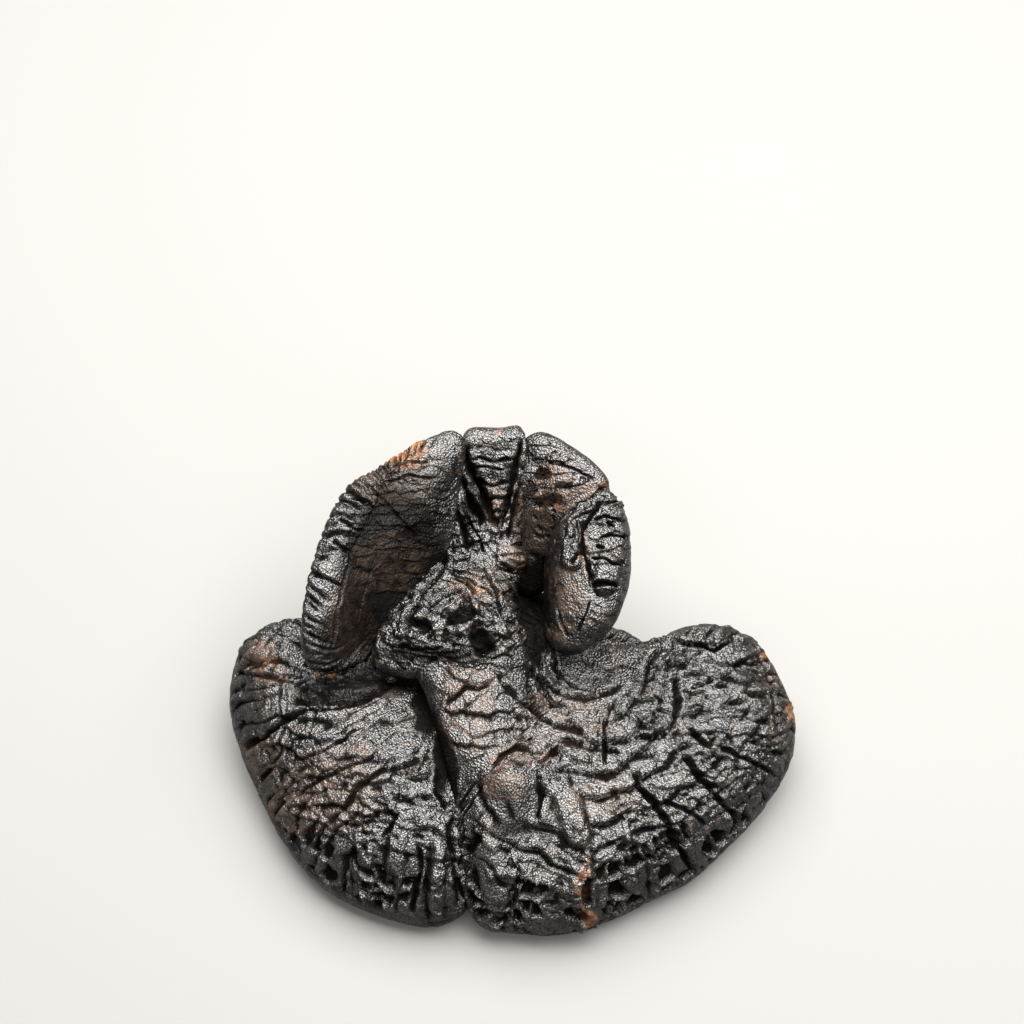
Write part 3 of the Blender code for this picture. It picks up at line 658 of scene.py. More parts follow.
# the left lobe, flat on the table at its front, its corner raised at the back
frontLeftLobe = {
    "around": 600, "rows": {"top": 118, "rim": 16, "beneath": 16},   # points round, rows along a rib
    "heelThick": 12, "rimThick": 10, "inset": 2.0,   # the rim ends inset short of its nodes
    "heel": (-27, 1, 27),
    "ribs": [   # inner, shoulder and rim node, anticlockwise seen from above
        ((-20, 1, 27), (-16, 0, 28), (-12, -1, 28)),
        ((-22, 7, 28), (-18, 12, 29), (-14, 16, 30)),
        ((-29, 12, 27), (-31, 22, 27), (-33, 30, 27)),
        ((-38, 15, 23), (-50, 27, 24), (-58, 37, 24)),
        ((-47, 14, 22), (-66, 26, 24), (-77, 32.5, 16.5)),
        ((-50, 12, 22), (-71, 23.5, 25), (-84.5, 28, 14)),
        ((-53, 8, 24), (-74, 17, 27.5), (-88.5, 19.5, 11.5)),
        ((-56, 4, 27), (-75, 5, 27), (-88.7, 6, 9)),
        ((-55, -3, 30), (-72.5, -5, 25), (-84.8, -6, 7)),
        ((-53, -10, 31), (-67.5, -16, 23), (-77.5, -20.5, 3.5)),
        ((-49, -16, 31), (-62, -27, 22), (-71, -33, 2.5)),
        ((-43, -22, 31), (-54, -37, 21), (-61, -47, 1.5)),
        ((-38, -27, 30), (-44, -44, 21), (-48, -55.5, 0.5)),
        ((-31, -29, 29), (-31, -48, 21), (-31, -61.5, 0)),
        ((-25, -28, 27), (-23, -49, 20), (-21, -61.5, 0)),
        ((-21, -25, 26), (-17.5, -46, 18), (-15, -57.5, 2)),
        ((-20, -18, 26), (-16, -36, 18), (-12, -46, 9)),
        ((-21, -10, 26), (-17, -20, 23), (-12, -28, 17)),
        ((-21, -4, 27), (-17, -8, 26), (-12, -11, 25)),
    ],
    "folds": {"high": 1.3, "spacing": 10.0, "start": 0.4},
    "steps": {"high": 0.6, "spacing": 8.0, "deep": 0.4, "low": 14},
    "scales": {"high": 1.5, "across": 7.0, "length": 8.0, "low": 6, "far": 60, "seed": 3},
    "grooves": [
        {"across": 9.0, "deep": 2.2, "short": 12, "long": 40, "sway": 2.5, "seed": 5},
        {"across": 5.0, "deep": 0.8, "short": 6, "long": 20, "sway": 2.5, "seed": 25},
    ],
    # "top" is the pixel row below which the cells start
    "cells": {"deep": 1.8, "across": 6.6, "length": 6.5, "low": 8, "far": 20, "top": 800, "seed": 12},
    "chips": {"across": 4.2, "length": 1.8, "deep": 0.9, "low": 12}, "fine": 0.05,
    "rim": {"smooth": 1.0, "wide": 7.5},
    "calm": {   # centre, half width and half height in pixels, how far it weakens the patterns
        "plate": (335, 752, 78, 52, 0.6), "side": (262, 700, 22, 40, 0.6),
        "lowerPlate": (370, 815, 60, 30, 0.4),
    },
    "ledges": {   # "where" is a centre, half width and half height in pixels
        "plate": {"high": 1.2, "wide": 8.5, "deep": 6.5, "low": 9, "where": (350, 765, 90, 75)},
        "plateFine": {"high": 0.5, "wide": 5.0, "deep": 4.0, "low": 9, "where": (380, 790, 60, 50)},
    },
    "lumps": {   # centre, radius, height
        "cornerBump": ((-79, 21, 27), 9, 2.0), "back": ((-42, -18, 35), 12, 1.5),
        "middle": ((-60, -14, 32), 7, 1),
    },
    "ridges": {   # half width, height, and a line in pixels
        "lowRib": (2.6, 1.8, [(400, 830), (396, 860), (390, 912)]),
        "lowRibTwo": (2.6, 1.8, [(436, 828), (436, 866), (436, 912)]),
        "lowRibThree": (2.4, 1.4, [(362, 830), (366, 862), (368, 900)]),
        "plateEdge": (1.4, 1.0, [(300, 744), (330, 736), (362, 716), (384, 704)]),
    },
    "creases": {   # half width, depth, and a line in pixels
        "notch": (0.9, 2.6, [(241, 750), (262, 738), (282, 722), (307, 710), (339, 710), (357, 700)]),
        "notchFork": (0.7, 1.8, [(258, 787), (280, 753), (283, 726)]),
        "bumpEdge": (0.6, 1.0, [(235, 673), (278, 679), (300, 682), (312, 676)]),
        "bumpSide": (0.5, 0.9, [(279, 640), (277, 660), (270, 676)]),
        "bumpCrack": (0.3, 0.6, [(246, 657), (257, 663), (266, 672)]),
        "stepEdge": (0.4, 0.9, [(279, 681), (280, 700), (282, 722)]),
        "trough": (1.6, 2.2, [(290, 700), (318, 702), (352, 704), (385, 690)]),
        "troughTwo": (1.3, 1.6, [(300, 685), (330, 696), (372, 694), (400, 680)]),
        "pitRow": (1.1, 1.8, [(424, 758), (405, 768), (380, 772), (358, 788), (345, 806), (326, 826)]),
        "fork": (0.5, 1.3, [(372, 800), (385, 806), (394, 817), (388, 832), (380, 840)]),
        "rightRib": (0.8, 2.4, [(418, 846), (421, 863), (416, 888), (411, 916)]),
        "rimSlotOne": (0.6, 1.6, [(347, 853), (344, 886), (342, 900)]),
        "rimSlotTwo": (0.5, 1.2, [(399, 888), (396, 914)]),
        "innerSlot": (0.9, 2.2, [(440, 770), (435, 792), (446, 810), (462, 813)]),
        "lastRib": (1.0, 2.4, [(454, 812), (449, 836), (456, 866), (458, 908)]),
        "sideLayerOne": (0.35, 0.8, [(243, 690), (262, 688), (279, 684)]),
        "sideLayerTwo": (0.35, 0.8, [(240, 703), (258, 700), (281, 692)]),
        "sideLayerThree": (0.35, 0.8, [(244, 726), (262, 722), (282, 716)]),
        "midRibOne": (0.5, 1.2, [(290, 800), (320, 780), (352, 765), (380, 758)]),
        "midRibTwo": (0.45, 1.0, [(300, 760), (330, 748), (362, 730)]),
        "midRibThree": (0.5, 1.1, [(322, 850), (340, 826), (362, 812)]),
    },
    # spots of painted shade, then of colour: centre, half width and half height in pixels, strength
    "paintedShade": {
        "trough": (352, 690, 60, 11, 0.85), "slitTop": (412, 672, 20, 16, 1.0),
        "slitUpper": (424, 705, 13, 30, 1.0), "slitLower": (442, 755, 11, 40, 1.0),
    },
    "brown": {
        "corner": (264, 660, 14, 18, 1.0), "middle": (330, 790, 45, 40, 0.5),
        "plate": (360, 755, 12, 10, 0.8), "lower": (290, 810, 30, 25, 0.7),
        "side": (262, 760, 20, 24, 0.5), "belowCorner": (272, 676, 16, 8, 0.8),
    },
    "rust": {"corner": (268, 666, 7, 9, 0.35), "bit": (327, 675, 8, 4, 0.9)},
}
growLobe("frontLeftLobe", frontLeftLobe, blackCrust)


# the right lobe, with the ridge beside the slit, the knob, the finger and the raised shoulder
frontRightLobe = {
    "around": 640, "rows": {"top": 120, "rim": 16, "beneath": 14},
    "heelThick": 12, "rimThick": 10, "inset": 2.0, "heel": (25, 14, 31),
    "ribs": [
        ((47, 8, 33), (74, 0, 29.5), (88, -2, 8)),
        ((47, 12, 32), (73, 8, 27.5), (86.8, 9.5, 11.5)),
        ((46, 14, 31), (70, 13.5, 31), (80.8, 19.5, 17.5)),
        ((44, 15, 30), (65, 17.5, 32.5), (72.5, 26.3, 22)),
        ((42, 16, 29), (58, 18.5, 33.5), (62, 27.3, 26)),
        ((39, 17, 28), (51, 18, 32), (53, 26, 28)),
        ((36, 19, 27), (43, 19, 29), (46, 21, 28)),
        ((30, 20, 28), (34, 24, 28), (37, 28, 28)),
        ((24, 19, 29), (23, 25, 30), (22, 31, 31)),
        ((17, 18, 32), (8, 24, 35), (0, 27, 37)),
        ((12, 16, 35), (-4, 19, 41), (-16, 20, 42)),
        ((9, 12, 35), (-11, 10, 42.5), (-30, 9, 39.5)),
        ((9, 6, 34), (-10, 0, 42), (-27.5, -4, 37.5)),
        ((10, 0, 33), (-8, -13, 38), (-22, -22, 31)),
        ((12, -7, 32), (-6, -27, 31), (-17.5, -40, 19)),
        ((14, -13, 32), (-4, -42, 28.5), (-14, -54, 8)),
        ((16, -17, 31), (-1, -50, 23.5), (-9.5, -62.5, 1.5)),
        ((19, -19, 31), (5, -51, 22.5), (-0.5, -64, 0)),
        ((22, -21, 31), (14, -52, 21.5), (11.5, -64.5, 0)),
        ((25, -21, 31), (23, -50, 21.5), (23.5, -62, 0)),
        ((30, -20, 32), (35, -44, 22.5), (39, -55, 0.5)),
        ((35, -17, 32), (47, -37.5, 22.5), (53.5, -48, 1)),
        ((39, -13, 33), (56.5, -29.5, 23.5), (65.5, -37, 2)),
        ((43, -7, 33), (65, -20, 24.5), (76.5, -25.5, 3.5)),
        ((46, 0, 33), (71.5, -9.5, 27.5), (85, -13, 6.5)),
    ],
    "folds": {"high": 1.0, "spacing": 9.5, "start": 0.55},
    "steps": {"high": 1.4, "spacing": 6.8, "deep": 1.5, "low": 16},
    "scales": {"high": 1.3, "across": 7.5, "length": 6.5, "low": 5, "far": 40, "seed": 4},
    "grooves": [
        {"across": 10.0, "deep": 2.2, "short": 10, "long": 36, "sway": 2.5, "seed": 40},
        {"across": 5.5, "deep": 0.8, "short": 6, "long": 20, "sway": 2.5, "seed": 60},
    ],
    "cells": {"deep": 2.8, "across": 5.4, "length": 8.0, "low": 8, "far": 27, "top": 790, "seed": 14},
    "chips": {"across": 4.2, "length": 1.8, "deep": 0.8, "low": 14}, "fine": 0.05,
    "rim": {"smooth": 1.0, "wide": 6.0},
    "calm": {
        "slope": (478, 715, 44, 74, 0.92), "knob": (512, 802, 32, 28, 0.85),
        "finger": (572, 806, 26, 34, 0.6), "shoulder": (725, 700, 60, 62, 0.8),
        "middle": (660, 760, 60, 40, 0.3),
    },
    "ledges": {
        "shoulder": {"high": 1.3, "wide": 8.5, "deep": 6.8, "low": 7, "where": (715, 715, 90, 85)},
        "shoulderFine": {"high": 0.6, "wide": 5.0, "deep": 4.0, "low": 7, "where": (715, 715, 80, 70)},
        "centre": {"high": 0.6, "wide": 6.0, "deep": 4.4, "low": 20, "where": (560, 740, 90, 50)},
        "slope": {"high": 0.9, "wide": 7.0, "deep": 6.0, "low": 4, "where": (478, 705, 36, 60)},
        "hollow": {"high": 0.5, "wide": 7.0, "deep": 5.0, "low": 20, "where": (600, 668, 60, 30)},
    },
    "lumps": {
        "knob": ((-1, -30, 34), 7.0, 6.0), "knobFoot": ((0, -39, 28), 5, -2.5),
        "ridgeTop": ((-12, 2, 42), 9, 2.0), "ridgeLow": ((-13, -16, 38), 8, 1.5),
        "hollow": ((27, 6, 36), 15, -2), "shoulder": ((62, 10, 36), 9, 1.5),
        "bulge": ((-26, 4, 42), 6, 1.5),
    },
    "ridges": {
        "finger": (4.2, 2.2, [(556, 782), (566, 800), (578, 832)]),
        "fingerRib": (3.6, 1.8, [(578, 832), (581, 868), (585, 922)]),
        "zigzag": (1.3, 1.2, [
            (482, 776), (496, 764), (515, 742), (532, 754), (539, 766), (556, 747), (568, 752),
            (585, 761)]),
        "netOne": (1.0, 1.4, [(512, 862), (528, 872), (538, 892), (536, 914)]),
        "netTwo": (1.0, 1.4, [(478, 884), (500, 872), (520, 876), (548, 886), (570, 892)]),
        "netThree": (1.0, 1.4, [(600, 880), (618, 862), (640, 850), (662, 856)]),
        "netFour": (1.0, 1.3, [(622, 800), (626, 830), (630, 860), (634, 890)]),
        "netFive": (1.0, 1.3, [(600, 842), (620, 836), (642, 842), (664, 850)]),
    },
    "creases": {
        "shoulderEdge": (0.9, 2.4, [
            (673, 672), (678, 699), (674, 716), (668, 730), (652, 737), (636, 737)]),
        "longRib": (1.0, 2.6, [(634, 768), (640, 788), (655, 806), (668, 824), (678, 846), (694, 872)]),
        "shoulderRib": (1.0, 2.4, [(684, 756), (700, 776), (716, 796), (740, 822)]),
        "ribThree": (0.7, 1.8, [(664, 800), (690, 812), (706, 824)]),
        "knobLeft": (0.9, 2.0, [(480, 784), (485, 806), (498, 824)]),
        "knobRight": (0.9, 2.2, [(537, 774), (542, 796), (539, 820)]),
        "zigzag": (0.9, 1.6, [
            (488, 770), (500, 757), (516, 748), (528, 752), (540, 763), (556, 752), (566, 745)]),
        "bulgeOne": (0.6, 1.3, [(418, 670), (430, 661), (444, 664), (453, 678)]),
        "bulgeTwo": (0.7, 1.5, [(444, 708), (456, 697), (467, 688), (478, 690), (494, 678)]),
        "slant": (0.9, 1.5, [(492, 668), (504, 684), (520, 700), (540, 716), (562, 727), (586, 732)]),
        "terraceOne": (1.0, 1.6, [
            (506, 657), (530, 672), (556, 690), (584, 697), (610, 690), (622, 680)]),
        "terraceTwo": (0.5, 1.0, [(552, 664), (572, 684), (600, 690)]),
        "terraceThree": (0.9, 1.6, [(560, 740), (590, 748), (622, 752)]),
        "terraceFour": (0.7, 1.4, [(550, 770), (580, 772), (606, 780), (624, 770)]),
        "crackDown": (0.6, 1.6, [(614, 700), (606, 718), (604, 740), (606, 766)]),
        "notchPit": (0.8, 2.0, [(690, 728), (700, 740), (709, 747), (717, 738)]),
        "shoulderGroove": (0.7, 1.7, [(720, 748), (740, 756), (757, 764), (775, 776)]),
        "crackTop": (0.7, 1.8, [(674, 641), (700, 646), (715, 651), (732, 639)]),
        "shoulderCrack1": (0.6, 1.5, [(681, 669), (694, 656), (700, 652)]),
        "shoulderCrack2": (0.6, 1.5, [(692, 689), (703, 685), (712, 680)]),
        "shoulderCrack3": (0.6, 1.5, [(732, 668), (744, 662), (760, 664)]),
        "shoulderCrack4": (0.7, 1.6, [(742, 691), (753, 695), (765, 695)]),
        "shoulderCrack5": (0.7, 1.7, [(746, 716), (758, 722), (772, 722)]),
        "shoulderCrack6": (0.6, 1.5, [(720, 702), (734, 704), (748, 701)]),
        "shoulderCrack7": (0.5, 1.3, [(716, 686), (728, 688)]),
        "shoulderCrack8": (0.6, 1.5, [(752, 742), (766, 746), (778, 744)]),
        "shoulderCrack9": (0.5, 1.3, [(686, 710), (696, 706), (706, 709)]),
        "rimLine": (0.6, 1.3, [(752, 640), (766, 668), (774, 700), (776, 730)]),
    },
    "paintedShade": {
        "knob": (503, 790, 24, 18, 0.25), "heel": (532, 628, 22, 36, 1.0),
        "slit": (404, 678, 9, 18, 1.0), "slitTwo": (416, 700, 9, 16, 1.0),
        "slitThree": (430, 722, 9, 16, 1.0), "slitFour": (441, 744, 9, 18, 1.0),
        "slitLow": (450, 775, 9, 36, 1.0), "underKnob": (514, 828, 22, 9, 0.9),
        "besideFinger": (546, 828, 8, 14, 0.7),
    },
    "brown": {
        "knob": (504, 784, 18, 16, 0.9), "zigzag": (520, 758, 36, 10, 0.8),
        "slope": (470, 700, 24, 50, 0.6), "centre": (560, 720, 50, 26, 0.3),
        "rim": (770, 660, 8, 30, 0.5), "low": (600, 800, 36, 18, 0.4),
    },
    "rust": {
        "lowRim": (586, 914, 5, 9, 0.75), "lowTop": (583, 882, 6, 20, 0.6),
        "upRim": (768, 648, 6, 9, 0.9), "rimTwo": (790, 712, 5, 12, 0.7),
    },
}
growLobe("frontRightLobe", frontRightLobe, blackCrust)


# the fold that stands up on the left, seen on its face, with ribs across its rim
leftFold = {
    "around": 520, "rows": {"top": 110, "rim": 14, "beneath": 14},
    "heelThick": 11, "rimThick": 8, "inset": 1.5, "heel": (-38, 43, 60.5),
    "ribs": [
        ((-31, 51, 64), (-23, 61.5, 69.5), (-15, 73, 72.5)),
        ((-34, 52, 65.5), (-28, 61.5, 70.5), (-22.5, 72.5, 71.5)),
        ((-37, 52, 66), (-34.5, 60.5, 69.5), (-31.5, 67.8, 69)),
        ((-40, 50, 66), (-41.5, 56, 69), (-42.5, 61, 67.5)),
        ((-43, 47, 65.5), (-48, 50, 69), (-52, 53.5, 67)),
        ((-45, 43, 64.5), (-51.5, 42, 67), (-58.5, 41, 64)),
        ((-46, 39, 62.5), (-54, 33, 64), (-62.5, 28.5, 60)),
        ((-46, 36, 60), (-56, 23, 59.5), (-65, 15, 55)),
        ((-46, 33, 58), (-57, 16, 54.5), (-65, 6.5, 48.5)),
        ((-44, 32, 55), (-54, 14, 47), (-61, 2.5, 41.5)),
        ((-42, 32, 52), (-47, 20, 42), (-51, 9, 33)),
        ((-39, 34, 51), (-40, 26, 41), (-42, 18, 33)),
        ((-36, 37, 51.5), (-34, 32, 43), (-33, 27, 34)),
        ((-34, 40, 53), (-29, 38, 46), (-25, 36, 38)),
        ((-33, 43, 56), (-26, 44, 51), (-19, 45, 45)),
        ((-32, 46, 59), (-24, 50, 56), (-15, 54.5, 54)),
        ((-31, 49, 62), (-23, 56, 62), (-15.5, 63, 62)),
    ],
    "folds": {"high": 0.3, "spacing": 9.0, "start": 0.6},
    "steps": {"high": 0.15, "spacing": 2.2, "deep": 0.0, "low": 4},
    "grooves": [
        {"across": 2.9, "deep": 1.4, "short": 11, "long": 17, "sway": 1.5, "seed": 80,
         "lean": (1.1, 490, 110), "black": 0.7},   # share, from which pixel row, over how many
    ],
    "chips": {"across": 4.0, "length": 1.6, "deep": 0.25, "low": 12}, "fine": 0.25,
    "rim": {"smooth": 0.5, "wide": 4.0},
    "calm": {"innerSide": (448, 525, 34, 110, 0.9), "face": (400, 560, 40, 80, 0.5)},
    "ledges": {
        "face": {"high": 0.5, "wide": 6.0, "deep": 4.5, "low": 5, "where": (395, 520, 62, 80)},
        "faceFine": {"high": 0.35, "wide": 3.6, "deep": 3.0, "low": 5, "where": (400, 500, 60, 60)},
    },
    "lumps": {
        "face": ((-50, 32, 56), 12, -1.5), "horn": ((-31, 70, 70), 2.4, 4.5),
    },
    "creases": {
        "step1": (0.6, 1.0, [(347, 496), (362, 500), (377, 508)]),
        "step2": (0.6, 1.0, [(338, 518), (363, 532)]),
        "step3": (0.6, 1.0, [(331, 540), (352, 553)]),
        "step4": (0.6, 1.2, [(314, 573), (345, 586)]),
        "faceOne": (0.4, 0.6, [(392, 470), (372, 510), (352, 556), (338, 610), (330, 660)]),
        "faceTwo": (0.5, 0.7, [(367, 483), (394, 512), (424, 548)]),
        "faceThree": (0.3, 0.4, [(380, 560), (366, 590), (356, 625)]),
        "topLine": (0.4, 0.8, [(388, 468), (408, 462), (430, 462)]),
        "topLineTwo": (0.4, 0.8, [(384, 484), (408, 476), (434, 480)]),
    },
    "paintedShade": {
        "upper": (402, 498, 44, 34, 0.7), "seam": (430, 476, 16, 14, 0.5),
        "face": (396, 580, 54, 98, 0.95), "low": (350, 640, 30, 40, 0.8),
        "crease": (440, 520, 12, 60, 0.6),
    },
    "brown": {
        "upper": (395, 480, 36, 24, 0.7), "face": (388, 562, 30, 26, 0.9),
        "low": (350, 620, 24, 40, 0.4), "top": (412, 448, 14, 12, 0.9),
    },
    "rust": {"top": (405, 455, 20, 14, 0.9), "horn": (416, 440, 6, 8, 1.0)},
}
growLobe("leftFold", leftFold, blackCrust)


# the strip that stands up in the middle, and the hump at its foot
middleFold = {
    "around": 440, "rows": {"top": 110, "rim": 12, "beneath": 10},
    "heelThick": 12, "rimThick": 8, "inset": 1.0, "heel": (-12, 25, 48),
    "ribs": [
        ((-9, 46, 48), (-6, 63.5, 61), (-4.5, 75.5, 73)),
        ((-12, 45, 48), (-13, 62.5, 61), (-14.5, 74.5, 72.5)),
        ((-14, 42, 48), (-16, 56, 55), (-17, 66, 63)),
        ((-15, 39, 48), (-17, 47, 49), (-19, 54, 54)),
        ((-18, 33, 48), (-21, 38, 46), (-24, 43, 45)),
        ((-22, 29, 47), (-29, 30, 43), (-35, 30, 40)),
        ((-24, 23, 47), (-34, 19, 42), (-43, 15, 36)),
        ((-23, 20, 47), (-33, 13, 41), (-42, 8, 34)),
        ((-20, 17, 48), (-26, 9, 43), (-31, 4, 36)),
        ((-15, 15, 49), (-18, 7, 46), (-20, 1, 38)),
        ((-10, 15, 49), (-9, 6, 46), (-8, -1, 38)),
        ((-6, 18, 48), (-1, 9, 44), (2, 3, 35)),
        ((-5, 21, 48), (-0.5, 15, 43), (2, 11, 34)),
        ((-6, 25, 47.5), (-2, 24, 42), (-0.5, 23, 33)),
        ((-6, 29, 47), (-3, 31, 42), (-1, 33, 34)),
        ((-6, 35, 46), (-2, 42, 46), (0, 47, 45)),
        ((-6, 41, 46), (-1, 52, 53), (2, 59, 57)),
        ((-7, 45, 48), (0, 61.5, 61), (4, 74.5, 72)),
    ],
    "folds": {"high": 0.6, "spacing": 7.0, "start": 0.3},
    "steps": {"high": 0.4, "spacing": 5.0, "deep": 0.0, "low": 0},
    "scales": {"high": 0.8, "across": 5.5, "length": 5.0, "low": 3, "far": 60, "seed": 7},
    "chips": {"across": 3.6, "length": 1.8, "deep": 0.8, "low": 4}, "fine": 0.08,
    "rim": {"smooth": 0.4, "wide": 3.0},
    "calm": {"strip": (486, 450, 30, 30, 0.3), "hump": (495, 560, 40, 40, 0.3)},
    "ledges": {
        "hump": {"high": 1.0, "wide": 6.0, "deep": 4.5, "low": 2, "where": (460, 590, 90, 80)},
    },
    "lumps": {
        "knobbyOne": ((-30, 15, 48), 7, 2), "lip": ((-13, 6, 50), 6, 1.5), "top": ((-12, 26, 55), 8, 1),
    },
    "ridges": {
        "ropeStrand": (1.2, 1.6, [(456, 494), (466, 520), (478, 548)]),
        "nub": (2.4, 2.4, [(504, 552), (516, 556), (526, 560)]),
        "arm": (1.2, 1.6, [(462, 594), (447, 608), (433, 621)]),
        "arc": (0.9, 1.6, [(470, 625), (478, 620), (488, 624)]),
        "strip": (1.5, 1.8, [(488, 616), (498, 628), (508, 644)]),
        "knobOne": (2.0, 1.8, [(401, 626), (404, 634)]),
        "knobTwo": (1.8, 1.8, [(417, 634), (418, 640)]),
        "knobBand": (1.9, 1.8, [(442, 636), (455, 631), (468, 633)]),
        "upperKnob": (2.0, 1.6, [(426, 604), (436, 598)]),
    },
    "creases": {
        "stripLeft": (1.6, 5.0, [(464, 448), (470, 466), (479, 486), (489, 506), (497, 526)]),
        "stripLeftOne": (1.4, 4.5, [(462, 480), (472, 504), (484, 526)]),
        "stripRight": (1.1, 3.2, [(523, 440), (516, 462), (511, 484), (506, 505), (501, 526)]),
        "stripRightOne": (1.2, 3.0, [(520, 486), (514, 510), (508, 536)]),
        "across1": (0.5, 1.5, [(468, 460), (480, 457), (494, 461), (516, 459)]),
        "across2": (0.4, 1.0, [(473, 469), (488, 466), (500, 470), (514, 467)]),
        "across3": (0.5, 1.4, [(477, 483), (492, 486), (512, 482)]),
        "across4": (0.6, 1.6, [(486, 500), (496, 497), (508, 500)]),
        "across5": (0.6, 1.6, [(492, 513), (499, 510), (505, 514)]),
        "rope": (0.5, 1.2, [(462, 500), (472, 526), (486, 552)]),
        "ropeLeft": (0.9, 2.4, [(450, 490), (460, 520), (470, 550)]),
        "ropeCutOne": (0.5, 1.2, [(454, 508), (464, 504)]),
        "ropeCutTwo": (0.5, 1.2, [(462, 528), (474, 522)]),
        "ropeCutThree": (0.5, 1.2, [(470, 546), (484, 538)]),
        "nubLow": (0.6, 1.8, [(500, 564), (514, 572), (530, 568)]),
        "cleft": (1.1, 3.4, [(446, 548), (440, 572), (426, 587), (414, 613), (411, 634)]),
        "humpLeft": (0.5, 1.2, [(452, 576), (466, 584), (476, 596)]),
        "humpSplit": (0.4, 1.0, [(449, 572), (462, 578), (480, 588), (494, 598)]),
        "humpUp": (0.4, 1.0, [(482, 566), (490, 578), (492, 590)]),
        "humpDown": (0.5, 1.2, [(486, 574), (496, 594), (502, 618)]),
        "underHump": (2.4, 3.6, [(452, 614), (464, 612), (474, 608)]),
        "underArm": (1.6, 2.4, [(444, 622), (456, 622), (468, 616)]),
        "underArc": (2.6, 3.6, [(474, 634), (482, 642), (490, 654)]),
        "shelfGap": (1.4, 2.6, [(414, 624), (424, 628), (430, 634)]),
        "shelfTop": (0.6, 1.6, [(380, 642), (396, 646), (414, 650), (440, 648)]),
        "wrinkleOne": (0.4, 0.9, [(420, 652), (440, 655), (462, 650)]),
    },
    "paintedShade": {
        "slit": (472, 500, 10, 28, 0.8), "right": (522, 520, 12, 40, 0.75),
        "pit": (524, 600, 12, 32, 1.0), "underHump": (465, 615, 18, 6, 1.0),
        "underArc": (483, 643, 15, 15, 1.0), "gap": (424, 627, 12, 4, 0.8),
        "foot": (428, 655, 50, 7, 0.85), "end": (390, 652, 18, 8, 0.6), "cleft": (432, 586, 8, 30, 0.5),
    },
    "brown": {
        "hump": (478, 590, 22, 18, 0.6), "nub": (516, 556, 16, 10, 1.0),
        "right": (524, 515, 12, 32, 0.9), "lowStrip": (496, 505, 8, 22, 0.5),
    },
    "rust": {"hump": (476, 592, 7, 8, 0.45), "top": (496, 430, 6, 4, 0.4)},
}
growLobe("middleFold", middleFold, blackCrust)


# the fold that rolls over to the right behind the ear
rightFold = {
    "around": 360, "rows": {"top": 90, "rim": 14, "beneath": 10},
    "heelThick": 10, "rimThick": 8, "inset": 1.5, "heel": (16.5, 60, 66.5),
    "ribs": [
        ((12, 63.5, 66), (6.5, 68, 66), (1.5, 72, 64)),
        ((12, 61, 64.5), (5.5, 63, 62), (0, 65, 57)),
        ((12.5, 58, 63), (5, 53.5, 53), (-3, 43, 38)),
        ((14, 56, 63), (8.5, 48.5, 51), (4, 37.5, 31)),
        ((16, 55, 63.5), (13.5, 49, 53), (13, 41, 34)),
        ((18.5, 55.5, 64), (20.5, 52, 60), (20.5, 48, 51)),
        ((20, 57, 65.5), (25, 54, 63), (28, 52.5, 59)),
        ((21, 58.5, 66.5), (27, 57, 65.5), (31.5, 56, 63)),
        ((20.5, 60.5, 67), (25, 60.5, 67), (28.5, 60.5, 65)),
        ((19.5, 62.5, 67.5), (22, 64.5, 67.5), (24, 65.5, 66)),
        ((17, 64, 67.5), (17.5, 67.5, 68), (17.5, 70.5, 66.5)),
        ((15, 65, 67.5), (13, 69.5, 68.5), (11, 74, 67.5)),
        ((12.5, 65, 67), (8.5, 70.5, 69), (5, 75, 70)),
    ],
    "folds": {"high": 0.2, "spacing": 7.0, "start": 0.5},
    "steps": {"high": 0.1, "spacing": 7.0, "deep": 0.0, "low": 0},
    "chips": {"across": 3.6, "length": 1.8, "deep": 0.8, "low": 4}, "fine": 0.12,
    "rim": {"smooth": 0.4, "wide": 3.0},
    "ledges": {
        "top": {"high": 0.5, "wide": 6.0, "deep": 5.0, "low": 2, "where": (545, 470, 44, 34)},
    },
    "lumps": {
        "pitOne": ((3, 66, 67), 3.0, -1.5), "pitTwo": ((9, 63, 67), 3.0, -1.5),
    },
    "creases": {
        "lipLine": (0.9, 2.6, [(611, 486), (598, 496), (573, 513), (564, 530), (558, 552)]),
        "topCrack": (0.35, 0.8, [(546, 462), (572, 468), (592, 478)]),
    },
    "paintedShade": {
        "pitOne": (543, 474, 8, 6, 1.0), "pitTwo": (564, 484, 9, 5, 1.0),
        "pitThree": (548, 500, 16, 6, 1.0), "pitFour": (530, 488, 6, 12, 0.9),
        "face": (540, 540, 22, 30, 0.8), "pit": (536, 590, 22, 30, 1.0),
    },
    "brown": {
        "lip": (590, 494, 24, 8, 0.9), "patch": (554, 490, 22, 24, 1.0), "low": (540, 530, 18, 24, 0.8),
    },
    "rust": {
        "spots": (556, 505, 6, 6, 0.45), "line": (590, 481, 18, 2.5, 0.3),
        "edge": (606, 488, 5, 3, 0.4),
    },
}
growLobe("rightFold", rightFold, blackCrust)


